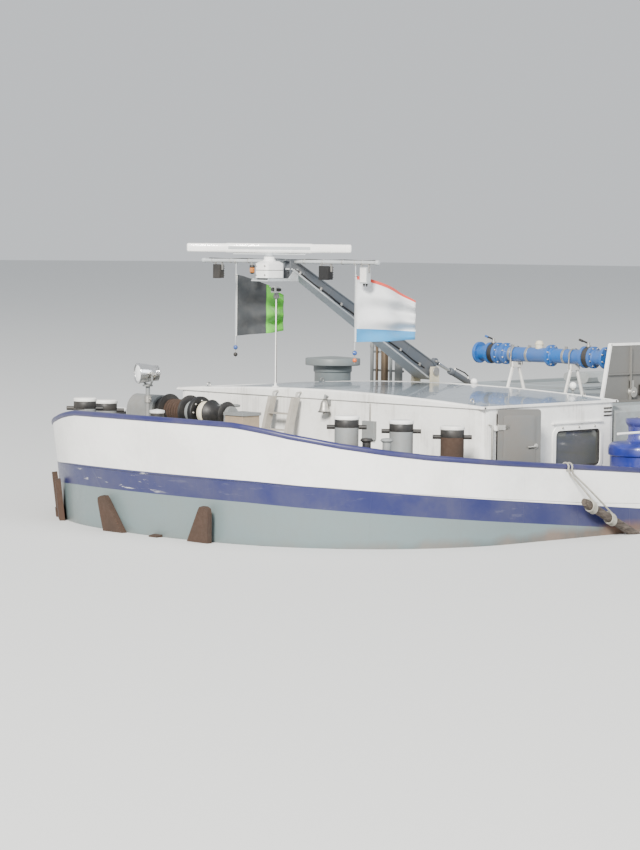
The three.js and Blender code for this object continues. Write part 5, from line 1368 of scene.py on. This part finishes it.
# Deck lamps: white glass balls on straight steel stems abaft the deckhouse. A pale tube rail on two
# posts runs along the port side deck between the window and the capstan.
ball_white = paint("ball_white", (0.9, 0.9, 0.88), 0.15, 0.1, 0.0, 0.0, coat=0.6)
lights = Piece()
for y, z in ((10, 216), (229, 219)):
    lights.turned(ball(6.2, 12), (3500, y, z), ball_white, sides=28)
    lights.turned([(3.6, -8), (4.4, -7), (4.4, -4.6), (3.6, -4)], (3500, y, z), bare_metal, sides=20)
    lights.tube([(3500, y, z - 7), (3500, y, 191)], 2, grey_steel, 12)
    lights.turned([(6, 0), (6, 1.6), (2.4, 2)], (3500, y, 190.3), grey_steel, sides=16)
rail_y, rail_z = 448, 157
lights.tube([(x, rail_y, z) for x, z in ((3660, rail_z), (3560, rail_z), (3440, rail_z), (3434, rail_z - 6),
                                         (3434, deck_height(3434)))], 2.0, gloss_white, 12)
lights.tube([(3488, rail_y, deck_height(3488)), (3488, rail_y, rail_z)], 2.0, gloss_white, 12)
lights.make("deck_lamps", "ship", bevel=0.0, slot="white_paint")

# Capstans on the side decks: a broad round motor housing of cast iron with a bolted foot and a
# rounded top; the short whelped barrel and its capped head stand on it.
capstan_blue = paint("capstan_blue", (0.008, 0.02, 0.20), 0.32, 0.2, 0.15, 0.25, coat=0.2,
                     under=(0.3, 0.3, 0.3))
for side, name in ((1, "port"), (-1, "starboard")):
    capstan = Piece()
    place = vec(3545, side * 408, deck_height(3545) + 0.6)
    rise = 176 - place.z
    capstan.turned([(0, 0), (54, 0), (54, 5), (51, 6), (50.4, 8), (50.4, rise - 62), (53.6, rise - 60),
                    (54, rise - 58), (54, rise - 50), (52.6, rise - 45), (49, rise - 41.4), (44, rise - 40),
                    (24, rise - 38), (20.6, rise - 34), (19.4, rise - 24), (20.4, rise - 14),
                    (25.4, rise - 9), (26, rise - 7), (26, rise - 3), (24.6, rise - 1.4), (12, rise),
                    (0, rise + 0.4)], place, capstan_blue, sides=64)
    bolts(capstan, ring_of(place + up(4.8), 52.4, 14, "Z"), (0, 0, 1), 1.1, 1.6)
    for k in range(8):
        a = math.tau * k / 8
        out, along = vec(math.cos(a), math.sin(a), 0), vec(-math.sin(a), math.cos(a), 0)
        whelp = ((24, -38), (21, -34), (20.2, -24), (21, -14), (24.6, -9))
        corners = ((-3, -2.4), (0.8, -1.8), (0.8, 1.8), (-3, 2.4))
        capstan.rings([[place + out * (r + w) + along * t + up(rise + z) for w, t in corners]
                       for r, z in whelp], capstan_blue)
        capstan.box(*(place + out * 50 - along * 4 + up(20)), *(place + out * 52 + along * 4 + up(22)),
                    capstan_blue)
    capstan.turned([(7, 0), (7, 1.6), (5, 2.2), (0, 2.2)], place + up(rise - 0.2), bare_metal, sides=24)
    capstan.make(f"capstan_{name}_casting", "ship", [f"capstan_{name}"], bevel=0.2, slot="pipe_paint")

# Timber fender: a barked pole slung outside the port side by two rope lashings from the rail. The
# rope is laid polyester, hitched round the pole in a few turns.
def make_timber():
    material, shader = new_material("timber_bark")
    t = Tree(material.node_tree)
    place = t.add("TexCoord").outputs["Object"]
    grain = t.noise(t.stretched(place, 22, 420, 420), 1.0, 8, 0.6)
    broad = t.noise(place, 40.0, 4)
    colour = t.mix(t.step(grain, 0.35, 0.7), (0.03, 0.022, 0.018, 1), (0.13, 0.105, 0.085, 1))
    colour = t.mix(t.step(broad, 0.5, 0.8, 0.0, 0.4), colour, (0.02, 0.02, 0.016, 1))
    bump = t.add("Bump", {"Strength": 0.9, "Distance": 0.0012, "Height": grain})
    t.set(shader, "Base Color", colour)
    t.set(shader, "Roughness", t.step(grain, 0.2, 0.8, 0.95, 0.7))
    t.set(shader, "Normal", bump.outputs["Normal"])
    return material


bark = make_timber()
fender = Piece()
fore_end, aft_end = vec(3778, half_beam / mm + 0.7, 58), vec(3540, half_beam / mm + 5.7, -52)
rings = []
for k in range(41):
    share = k / 40
    centre = fore_end.lerp(aft_end, share)
    end_taper = min(1.0, 0.8 + 9 * min(share, 1 - share))
    ring = []
    for a in (math.tau * s / 20 for s in range(20)):
        knobs = 0.4 * noise.noise(vec(share * 9, math.cos(a) * 1.4, math.sin(a) * 1.4))
        ring.append(centre + vec(0, math.cos(a), math.sin(a)) * (7.3 * end_taper + knobs))
    rings.append(ring)
fender.rings(rings, bark)
fender.make("timber_fender_pole", "ship", ["timber_fender"], bevel=0.0, slot="timber")
rope_white = paint("rope_white", (0.34, 0.33, 0.29), 0.85, 0.6, 0.2, 0.0, 6.0, soil=(0.12, 0.11, 0.09),
                   relief=0.9)


def rail_side(x):
    """Outer Y and top Z of the port rail at X, in millimetres."""
    along_side = [i for i, (_, y) in enumerate(rail_line) if y > 0.3]
    near = min(along_side, key=lambda i: abs(rail_line[i][0] - x * mm))
    (x0, y0), (x1, y1) = rail_line[near - 1], rail_line[near]
    y = y0 + (y1 - y0) * (x * mm - x0) / (x1 - x0) if x1 != x0 else y1
    return y / mm, along_sheer(x * mm, 2) / mm


for name, rail_x, share in (("fore", 3797, 0.07), ("aft", 3789, 0.27)):
    rail_y, rail_top = rail_side(rail_x)
    knot = fore_end.lerp(aft_end, share)
    route = [vec(rail_x, rail_y + 3.6, rail_top + 2), vec(rail_x - 1, rail_y + 5.2, rail_top - 6)]
    for k in range(1, 17):
        bulge = vec(0, 1.5 * math.sin(math.pi * k / 16), 0)
        route.append(route[1].lerp(knot + vec(0, 5, 7.2), k / 16) + bulge)
    rope = Piece()
    rope.tube(route, 1.5, rope_white, 10)
    made = rope.make(f"fender_rope_{name}", "ship", bevel=0.0, slot="flag_cloth")
    turns = Piece()
    for k in range(4):
        hoop(turns, knot + vec(2.9 * k - 4.4, 0, 0.46 * (2.9 * k - 4.4)), 9.0, 1.4, rope_white, "X", 8, 30)
    hoop(turns, (rail_x, rail_y - 2, rail_top + 4), 6.2, 1.5, rope_white, "X", 8, 24)
    knots = turns.make(f"fender_hitch_{name}", "ship", bevel=0.0, slot="flag_cloth")

# Tank trunk: the raised cargo deck of steel plates, welded in long strakes, with hatch coamings,
# hinged lids with grips, pressure valves and painted walkways.
trunk_grey = paint("trunk_grey", (0.27, 0.31, 0.33), 0.5, 0.45, 0.35, 0.3, 0.6)
walkway = paint("walkway", (0.16, 0.19, 0.20), 0.85, 0.5, 0.1, 0.3, 1.0, relief=0.8)
dress("trunk", trunk_grey, 1.0)
seams = Piece()
trunk_top, plate_long = 190, 460
for k in range(13):
    x = 3100 - plate_long * k
    seams.rings([[(x + w, y, trunk_top + h) for w, h in ((-1.4, -0.3), (0, 0.7), (1.4, -0.3))]
                 for y in (-329, 329)], trunk_grey)
    for side in (-1, 1):
        seams.box(x - 2, side * 339.7, 60, x + 2, side * 344, 178, trunk_grey)
for side in (-1, 1):
    for y in (62, 108, 234):
        seams.rings([[(x, side * y + w, trunk_top + h) for w, h in ((-1.4, -0.3), (0, 0.6), (1.4, -0.3))]
                     for x in (3100, -2530)], trunk_grey)
    seams.box(-2500, side * 236, trunk_top - 0.3, 3060, side * 300, trunk_top + 1, walkway)
seams.make("trunk_strakes", "ship", bevel=0.0, slot="grey_paint")
lid_red = paint("lid_brown", (0.19, 0.055, 0.03), 0.5, 0.4, 0.3, 0.35)
for k, x in enumerate((2550, 1150, -500, -1900)):
    y = -150 if k % 2 else 150
    dress(f"hatch_lid_{k + 1}", lid_red, 0.6)
    gear = Piece()
    top = vec(x, y, 233.2)
    gear.turned([(9, -0.4), (9, 1.6), (5, 2), (5, 5), (0, 5)], top, bare_metal, sides=24)
    grip = [top + vec(out, 0, z) for out, z in ((-12, 0.3), (-12, 7), (12, 7), (12, 0.3))]
    gear.tube(grip, 1.5, bare_metal, 10)
    gear.make(f"hatch_lid_gear_{k + 1}", f"lid_{k + 1}", bevel=0.2, slot="bare_steel")
    coaming = Piece()
    centre = vec(x, y, trunk_top)
    coaming.turned([(38, 3), (44, 0), (38.4, 0)], centre, trunk_grey, sides=40)
    for spot in ring_of(centre + up(18), 38.2, 10, "Z", math.pi / 10):
        coaming.turned([(0, 0), (2.2, 0), (2.2, 9), (1.4, 9.2), (1.4, 11), (0, 11)], spot, bare_metal,
                       sides=12)
    coaming.turned([(0, 0), (9, 0), (9, 3), (6, 3.4), (6, 40), (11, 42), (11, 52), (7, 56), (0, 57)],
                   centre + vec(110, 0, 0), grey_steel, sides=28)
    coaming.make(f"hatch_fittings_{k + 1}", "ship", bevel=0.2, slot="bare_steel")

# Cargo lines, cross connections and railings: painted steel pipe with flanged joints on sleepers,
# and square stanchions with ball joints on the rails.
line_grey = paint("line_grey", (0.30, 0.33, 0.34), 0.4, 0.35, 0.3, 0.3)
dress("cargo_pipes", line_grey, 0.0)
joints = Piece()
line_z, cross_z = 214, 216
for y, r in ((-40, 8), (0, 11), (40, 8)):
    for k in range(12):
        place = vec(2900 - plate_long * k, y, line_z)
        joints.turned([(r - 1, -4), (r + 5, -4), (r + 5, -0.4), (r + 4.2, 0), (r + 5, 0.4), (r + 5, 4),
                       (r - 1, 4)], place, line_grey, (1, 0, 0), 28)
        bolts(joints, ring_of(place + vec(3.8, 0, 0), r + 3, 6, "X"), (1, 0, 0), 1, 1.8)
    for k in range(7):
        hoop(joints, (3000 - 880 * k, y, line_z), r + 0.8, 1.1, bare_metal, "X", 8, 24)
for x in (420, 330):
    for side in (-1, 1):
        valve = vec(x, side * 230, cross_z)
        wheel_at = valve + up(30)
        joints.turned([(0, 0), (14.6, 0), (14.6, 3), (10, 4), (9, 5), (0, 5)], (x, side * 300, cross_z),
                      line_grey, (0, side, 0), 28)
        bolts(joints, ring_of((x, side * 305, cross_z), 12, 6, "Y"), (0, side, 0), 1, 1.6)
        joints.turned([(3, 9), (3, 24), (1.6, 25), (1.6, 30)], valve, bare_metal, sides=12)
        hoop(joints, wheel_at, 13, 1.4, lid_red, "Z")
        joints.tube([wheel_at - vec(13, 0, 0), wheel_at + vec(13, 0, 0)], 1.2, lid_red, 8)
joints.make("pipe_joints", "ship", bevel=0.0, slot="pipe_paint")
first_post, post_step, posts = 2580, 500, 11
for side, name in ((1, "port"), (-1, "starboard")):
    dress(f"railing_{name}", house_white, 0.3)
    fittings = Piece()
    y = side * 308
    for k in range(posts):
        x = first_post - post_step * k
        fittings.box(x - 5, y - 5, trunk_top + 0.2, x + 5, y + 5, trunk_top + 2, house_white)
        for z in (245.3, 288.3):
            fittings.turned([(0, -2.8), (2, -2.2), (2.8, 0), (2, 2.2), (0, 2.8)], (x, y, z), house_white,
                            sides=14)
    fittings.tube([(first_post, y, 268), (x, y, 268)], 0.6, bare_metal, 6)
    fittings.make(f"railing_{name}_fittings", "ship", bevel=0.0, slot="white_paint")

# Hose crane: pedestal, slewing column and jib in painted steel, bolted to the trunk deck, with a
# sheave block and a ball weight at the jib's head.
crane_yellow = paint("crane_cream", (0.72, 0.66, 0.50), 0.38, 0.35, 0.35, 0.3)
for node in ("crane_pedestal", "crane_column", "crane_jib"):
    dress(node, crane_yellow, 0.7)
crane = Piece()
crane_x, crane_y, head_x = 620, 120, 1314
bolts(crane, ring_of((crane_x, crane_y, 195), 25.4, 10, "Z"), (0, 0, 1), 1.6, 2.6)
crane.turned([(20, 0), (21, 1), (21, 5), (20, 6)], (crane_x, crane_y, 226), black_steel_and_bell_shade, sides=32)
crane.make("crane_pedestal_bolts", "ship", bevel=0.2, slot="bare_steel")
column = Piece()
for side in (-1, 1):
    column.turned([(7, 0), (7, 1.4), (4, 1.8), (0, 2)], (crane_x, crane_y + side * 15, 330), bare_metal,
                  (0, side, 0), 24)
column.box(600, 112, 270, 604, 128, 296, black_steel_and_bell_shade)
column.tube([(602, 118, 296), (604, 116, 308), (608, 114, 312)], 1.4, rubber_and_slot_shade, 8)
column.make("crane_column_fittings", "hose_column", bevel=0.2, slot="bare_steel")
jib = Piece()
for k in range(9):
    x, half, low, high = 680 + 70 * k, 8.4 - k * 0.35, 318 + k, 341 - k * 0.6
    band = ((-1, low), (1, low), (1, high), (-1, high))
    jib.rings([[(x + w, crane_y + side * half, z) for side, z in band] for w in (-1, 1)], crane_yellow)
jib.tube([(640, 130, 333), (640, 129.996, 333), (1290, 126, 333)], 1.3, rubber_and_slot_shade, 8)
jib.turned([(4, -3), (8, -3), (7, 0), (8, 3), (4, 3)], (head_x, crane_y, 306), bare_metal, (0, 1, 0), 24)
jib.turned([(0, -7), (4, -6), (6.4, -3), (7, 0), (6.4, 3), (4, 6), (0, 7)], (head_x, crane_y, 292),
           black_steel_and_bell_shade, sides=24)
hoop(jib, (head_x, crane_y, 281), 4.4, 1.3, bare_metal, "Y")
jib.make("crane_jib_fittings", "hose_jib", bevel=0.2, slot="bare_steel")

# After accommodation: a welded steel house with rounded corners, round-cornered windows in bolted
# frames, strips and handrails along its walls and two grey steel doors. Its roof carries a grating,
# two vents and a rail.
dress("aft_house", house_white, 1.2)
for side, name in ((1, "port"), (-1, "starboard")):
    wall_y = side * 345
    cabin = Piece()
    for x in (-3650, -3490, -3330, -3170, -3010, -2880):
        framed_window(cabin, x, 150, x + 74, 226, 14, wall_y, side, depth=0.5)
        bolts(cabin, [(x + u, wall_y + side * 2, z) for u in (12, 62) for z in (146, 230)], (0, side, 0),
              1.4, 2.0)
    cabin.box(-3740, wall_y - side * 0.4, 272, -2660, wall_y + side * 3.4, 276, house_white)
    cabin.box(-3740, wall_y - side * 0.4, 118, -2780, wall_y + side * 1.2, 120.5, rail_blue)
    cabin.tube([(-3700, wall_y, 136), (-3700, wall_y + side * 8, 136), (-2860, wall_y + side * 8, 136),
                (-2860, wall_y, 136)], 1.6, bare_metal, 10)
    for k in range(6):
        cabin.tube([(-3600 + 140 * k, wall_y, 136), (-3600 + 140 * k, wall_y + side * 8, 136)], 1.2,
                   bare_metal, 8)
    cabin.make(f"cabin_side_{name}", "ship", bevel=0.0, slot="white_paint")
    dress(f"aft_door_{name}", grey_steel, 0.5)
    leaf = Piece()
    y0 = side * 348.4
    outer = rounded_outline(-2732, 66, -2678, 234, 6, 4)
    inner = rounded_outline(-2729, 69, -2681, 231, 5, 4)
    leaf.rings([[(x, y0 + side * h, z) for x, z in line]
                for line, h in ((outer, -0.2), (outer, 1.0), (inner, 1.8))], grey_steel)
    leaf.turned([(3.6, 0), (3.6, 1.6), (1.6, 2), (1.6, 4)], (-2736, y0, 155), bare_metal, (0, side, 0), 20)
    for z in (90, 150, 214):
        leaf.box(-2684, y0 - side * 0.2, z, -2667, y0 + side * 1.2, z + 7, bare_metal)
    hoop(leaf, (-2705, y0 + side * 1.6, 200), 11, 1.6, bare_metal, "Y")
    leaf.turned([(0, 1.8), (10.5, 1.8), (10.5, 1.2)], (-2705, y0, 200), glass, (0, side, 0), 28)
    leaf.make(f"aft_door_fittings_{name}", f"{name}_door", bevel=0.2, slot="bare_steel")
ends = Piece()
for x0, out in ((-2620, 1), (-3780, -1)):
    for y in (-240, -110, 40, 170):
        if out > 0 and y == 40:
            continue
        framed_window(ends, y, 150, y + 70, 226, 14, x0, out, "X", 0.5)
    ends.box(x0 - 0.4, -300, 272, x0 + out * 3.4, 300, 276, house_white)
roof_top = 290
for x0, y0, x1, y1 in ((-3765, -330, -3755, 330), (-3765, 322, -3040, 330), (-3765, -330, -3040, -322)):
    ends.box(x0, y0, roof_top - 0.2, x1, y1, roof_top + 6, house_white)
for k in range(5):
    ends.box(-3722 + k * 9, -60, roof_top - 0.2, -3718 + k * 9, 60, roof_top + 5, grey_steel)
ends.box(-3726, -64, roof_top - 0.2, -3676, 64, roof_top + 2.4, grey_steel)
for y in (-220, 240):
    ends.turned([(16, 0), (16, 4), (12, 6), (12, 40), (20, 42), (22, 50), (18, 58), (0, 60)],
                (-3120, y, roof_top - 0.2), house_white, sides=32)
for x in (-3700, -3400, -3150):
    for side in (-1, 1):
        ends.tube([(x, side * 318, roof_top), (x, side * 318, roof_top + 62)], 1.8, house_white, 10)
for z in (32, 62):
    for side in (-1, 1):
        ends.tube([(-3700, side * 318, roof_top + z), (-3150, side * 318, roof_top + z)], 1.6, house_white,
                  10)
ends.make("after_house_outfit", "ship", bevel=0.2, slot="white_paint")

# Wheelhouse: painted steel, with windows in rubber seals, a visor over them and wipers on the front
# panes. A console with wheel and levers and a chair stand inside; two lamps, a dome and a pair of
# horns are fixed on the roof. The door is in the after wall.
dress("wheelhouse", house_white, 1.0)
dress("wheelhouse_roof", roof_blue, 1.0)
clear, clear_shader = new_material("clear_glass")
clear_shader.inputs["Base Color"].default_value = (0.55, 0.62, 0.62, 1)
clear_shader.inputs["Transmission Weight"].default_value = 0.85
t = Tree(clear.node_tree)
smear = t.noise(t.add("TexCoord").outputs["Object"], 55.0, 5)
t.set(clear_shader, "Roughness", t.step(smear, 0.35, 0.75, 0.03, 0.12))
dress("wheelhouse_glass", clear, 0.0)
cab = Piece()
cab_fore, cab_back, cab_top = -2660, -3013.4, 508.7


def front(z, out):
    return cab_fore - 26 * max(0, z - 385) / 115 + out


for side in (-1, 1):
    for x in (-2975, -2870, -2765):
        line = rounded_outline(x + 1, 386, x + 77, 474, 6, 4)
        lip = rounded_outline(x - 4, 381, x + 82, 479, 9, 4)
        rows = ((lip, -0.3), (lip, 1.4), (line, 1.4), (line, -4))
        cab.rings([[(u, side * (190 + h), z) for u, z in row] for row, h in rows], rubber_and_slot_shade, closed=False)
    cab.tube([(-2960, side * 190, 366), (-2960, side * 198, 366), (-2690, side * 198, 366),
              (-2690, side * 190, 366)], 1.8, bare_metal, 10)
for y in (-160, -50, 60):
    line = rounded_outline(y + 1, 386, y + 99, 474, 6, 4)
    lip = rounded_outline(y - 4, 381, y + 104, 479, 9, 4)
    rows = ((lip, -0.6), (lip, 1.4), (line, 1.4), (line, -4))
    cab.rings([[(front(z, h), u, z) for u, z in row] for row, h in rows], rubber_and_slot_shade, closed=False)
    cab.turned([(3, 0), (3, 4), (0, 4.4)], (front(380, 0.5), y + 50, 379), black_steel_and_bell_shade, (1, 0, 0), 16)
    cab.tube([(front(380, 4), y + 50, 379), (front(432, 3.4), y + 24, 432)], 1.0, black_steel_and_bell_shade, 8)
    cab.tube([(front(405, 2.2), y + 12, 404), (front(462, 2.2), y + 36, 462)], 1.1, rubber_and_slot_shade, 8)
for k in range(3):
    cab.box(-2664, -150 + 110 * k, 320, -2659, -80 + 110 * k, 322, grey_steel)
cab.plate([(-2672, 489), (-2648, 482), (-2648, 484), (-2672, 499)], -190, 190, roof_blue)
cab.box(-2780, -150, 297, -2712, 150, 380, dark_grey)
cab.plate([(-2790, 380), (-2708, 380), (-2708, 398), (-2784, 388)], -154, 154, black_steel_and_bell_shade)
wheel_hub = vec(-2800, 0, 384)
hoop(cab, wheel_hub, 26, 1.8, bare_metal, "X", 10, 40)
cab.tube([wheel_hub, (-2784, 0, 384)], 2.6, bare_metal, 12)
for a in range(3):
    spoke = vec(0, math.cos(a * math.tau / 3), math.sin(a * math.tau / 3))
    cab.tube([wheel_hub, wheel_hub + spoke * 26], 1.2, bare_metal, 8)
for y in (-70, -58, 62):
    cab.tube([(-2752, y, 392), (-2758, y, 408)], 1.2, bare_metal, 8)
    cab.turned([(0, -3), (2.6, -2), (3.2, 0), (2.6, 2), (0, 3)], (-2758, y, 410), black_steel_and_bell_shade, sides=16)
cab.turned([(14, 0), (14, 3), (4, 6), (4, 44), (0, 44)], (-2862, 0, 296), grey_steel, sides=28)
cab.box(-2886, -25, 340, -2836, 25, 350, black_steel_and_bell_shade)
cab.plate([(-2888, 348), (-2878, 350), (-2890, 410), (-2898, 408)], -24, 24, black_steel_and_bell_shade)
cab.make("wheelhouse_fit_out", "ship", bevel=0.3, slot="black_paint")
dress("wheelhouse_door", grey_steel, 0.4)
back_door = Piece()
back_door.turned([(3.4, 0), (3.4, 2), (1.6, 2.4), (1.6, 4)], (-3013.2, 66, 389), bare_metal, (-1, 0, 0), 18)
back_door.rings([[(cab_back - h, y, z) for y, z in rounded_outline(70 + k, 398 + k, 112 - k, 458 - k, 6, 4)]
                 for k, h in ((0, -0.2), (0, 1.2), (3, 1.2), (3, 0.2))], rubber_and_slot_shade, closed=False)
back_door.rings([[(cab_back - h, y, z) for y, z in rounded_outline(72, 400, 110, 456, 5, 4)]
                 for h in (-0.1, 0.5)], glass)
for z in (320, 440):
    back_door.box(-3015.4, 110, z, -3013.2, 125, z + 7, bare_metal)
back_door.make("wheelhouse_door_fittings", "wheel_door", bevel=0.2, slot="bare_steel")
top_gear = Piece()
for y in (-120, 120):
    top_gear.turned([(9, 0), (9, 2), (4, 3), (4, 14), (0, 14)], (-2720, y, cab_top), bare_metal, sides=20)
    top_gear.turned([(0, -13), (11, -13), (13, -10), (13, 10), (14, 10), (14, 12), (11, 12), (11, 8),
                     (0, 7)], (-2720, y, 532), black_steel_and_bell_shade, (1, 0, -0.15), 32)
    top_gear.turned([(0, 8.4), (11, 8.4)], (-2720, y, 532), glass, (1, 0, -0.15), 32)
top_gear.turned([(0, 0), (30, 0), (34, 4), (34, 12), (24, 24), (0, 28)], (-2960, -110, 508.8), gloss_white,
                sides=36)
for k, y in enumerate((92, 104)):
    top_gear.turned([(3, 0), (3, 5), (4, 8), (9, 34), (9.6, 36), (8, 36), (3, 10), (0, 10)],
                    (-2950, y, 520 + k), bare_metal, (1, 0, 0), 24)
    top_gear.tube([(-2946, y, cab_top), (-2946, y, 520)], 1.4, bare_metal, 8)
top_gear.make("wheelhouse_top_gear", "ship", bevel=0.2, slot="bare_steel")

# Folding after mast, exhausts, dinghy and davit: painted tube with stays and lamps; a casing with
# louvres and two rusty pipes; a clinker-built boat on chocks; a davit with its tackle.
dress("aft_mast", house_white, 0.4)
dress("exhausts", black_steel_and_bell_shade, 0.8)
dress("davit", crane_yellow, 0.5)
boat_grey = paint("boat_grey", (0.42, 0.45, 0.44), 0.35, 0.3, 0.25, 0.2, coat=0.3)
dress("dinghy", boat_grey, 0.8)
timber_wood = paint("varnished_wood", (0.24, 0.115, 0.045), 0.35, 0.3, 0.1, 0.0, 2.0, coat=0.3, relief=0.4)
mast_gear = Piece()
for z, lens in ((677, gloss_white), (641, amber)):
    mast_gear.turned([(7.4, 0), (8, 0.6), (8, 2.2), (7.2, 2.8)], (-2900, 0, z), black_steel_and_bell_shade, sides=28)
    mast_gear.turned([(7.2, 2.8), (7.3, 9.6)], (-2900, 0, z), lens, sides=28)
    mast_gear.turned([(7.2, 9.6), (8, 10.2), (7.4, 12.4), (0, 12.8)], (-2900, 0, z), black_steel_and_bell_shade, sides=28)
for side in (-1, 1):
    mast_gear.turned([(0, 0), (3, 0), (3, 5), (0, 5)], (-2900, side * 66, 621), ball_orange, sides=16)
    mast_gear.tube([(-2900, side * 66, 625), (-2900, side * 4, 678)], 0.5, bare_metal, 6)
mast_gear.tube([(-2895, 3, 540), (-2895, 3, 676)], 0.9, rubber_and_slot_shade, 6)
mast_gear.make("after_mast_lamps", "after_mast", bevel=0.0, slot="bare_steel")
after_gear = Piece()
lean = vec(-18, 0, 57).normalized()
for side in (-1, 1):
    for k in range(6):
        after_gear.box(-3316, side * 69.6, 302 + 7 * k, -3224, side * 72, 305 + 7 * k, grey_steel)
    pipe_top = vec(-3288, side * 34, 402)
    after_gear.turned([(13.4, -8), (14.4, -7), (14.4, -1), (13.4, 0), (11.6, 0), (11.6, -12), (0, -12)],
                      pipe_top, rust, lean, 28)
    after_gear.turned([(13.4, -36), (14.2, -35), (14.2, -30), (13.4, -29)], pipe_top, bare_metal, lean, 28)
boat = vec(-3580, 120, 302)
stations = ((-140, 50, 48), (-60, 62, 46), (50, 60, 48), (110, 44, 53), (150, 12, 58))
for side in (-1, 1):
    gunwale = [boat + vec(x, side * (half + 0.4), top) for x, half, top in stations]
    after_gear.tube(gunwale, 2.6, timber_wood, 10)
    for level in (0.35, 0.68):
        strake = [boat + vec(x, side * (half * (0.76 + 0.24 * level) + 0.8), 6 + (top - 6) * level)
                  for x, half, top in stations[:4]]
        after_gear.tube(strake, 1.1, boat_grey, 8)
for x, half in ((-96, 52), (-20, 58), (62, 50)):
    after_gear.box(boat.x + x - 8, boat.y - half, boat.z + 34, boat.x + x + 8, boat.y + half, boat.z + 37,
                   timber_wood)
for side in (-1, 1):
    after_gear.turned([(2.4, 0), (2.4, 5), (4, 6), (4, 8), (0, 8)], boat + vec(6, side * 60, 47), bare_metal,
                      sides=16)
    after_gear.tube([boat + vec(-104, side * 20, 39), boat + vec(84, side * 24, 39)], 2.0, timber_wood, 10)
after_gear.make("boat_and_casing_trim", "ship", bevel=0.0, slot="timber")
tackle = Piece()
tip = vec(-3580, 130, 472)
tackle.tube([tip, tip - up(22)], 0.8, bare_metal, 6)
tackle.turned([(3, -3), (6, -3), (5, 0), (6, 3), (3, 3)], tip - up(26), bare_metal, (1, 0, 0), 20)
hoop(tackle, tip - up(37), 3.6, 1.1, bare_metal, "X")
tackle.turned([(10, 0), (10, 3), (6.4, 4), (6.4, 8)], (-3560, 300, 296.5), bare_metal, sides=28)
tackle.box(-3572, 296, 340, -3564, 304, 360, grey_steel)
tackle.make("davit_tackle", "boat_davit", bevel=0.2, slot="bare_steel")

# Stern bitts, propeller and rudders: cast bitts with worn caps, a bronze four-bladed propeller held
# by its nut, and welded plate rudders with zinc anodes.
bronze = paint("bronze", (0.48, 0.27, 0.09), 0.28, 0.3, 0.1, 0.0, metal=0.9, soil=(0.06, 0.10, 0.07),
               relief=0.3)
dress("propeller", bronze, 0.5)
boss = Piece()
boss.turned([(0, 0), (6, 0.6), (9, 5), (9, 8)], (-3863, 0, shaft_z), bronze, (1, 0, 0), 28)
bolts(boss, ring_of((-3822, 0, shaft_z), 12, 6, "X"), (1, 0, 0), 1.6, 2.4, bronze)
boss.make("propeller_nut", "screw", bevel=0.0, slot="bronze")
for side, name in ((1, "port"), (-1, "starboard")):
    dress(f"stern_bitts_{name}", grey_steel, 0.8)
    cap = Piece()
    for x in (-3560, -3500):
        cap.turned([(15.4, 0), (15.6, 1.6), (14, 2.8), (0, 3.4)], (x, side * 400, 121), bare_metal, sides=36)
        cap.turned([(12.1, 0), (12.9, 0.8), (12.9, 4), (12.1, 4.8)], (x, side * 400, 92), bare_metal,
                   sides=36)
    cap.make(f"bitts_caps_{name}", "ship", bevel=0.0, slot="bare_steel")
    dress(f"rudder_{name}", black_steel_and_bell_shade, 1.0)
    anode = Piece()
    for z in (-220, -150, -112):
        for face in (-1, 1):
            y = side * rudder_y + face * 6.2
            anode.box(-4034, y - face * 1.5, z, -4010, y + face * 1.6, z + 8, bare_metal)
    anode.make(f"rudder_anodes_{name}", f"{name}_rudder", bevel=0.6, slot="bare_steel")
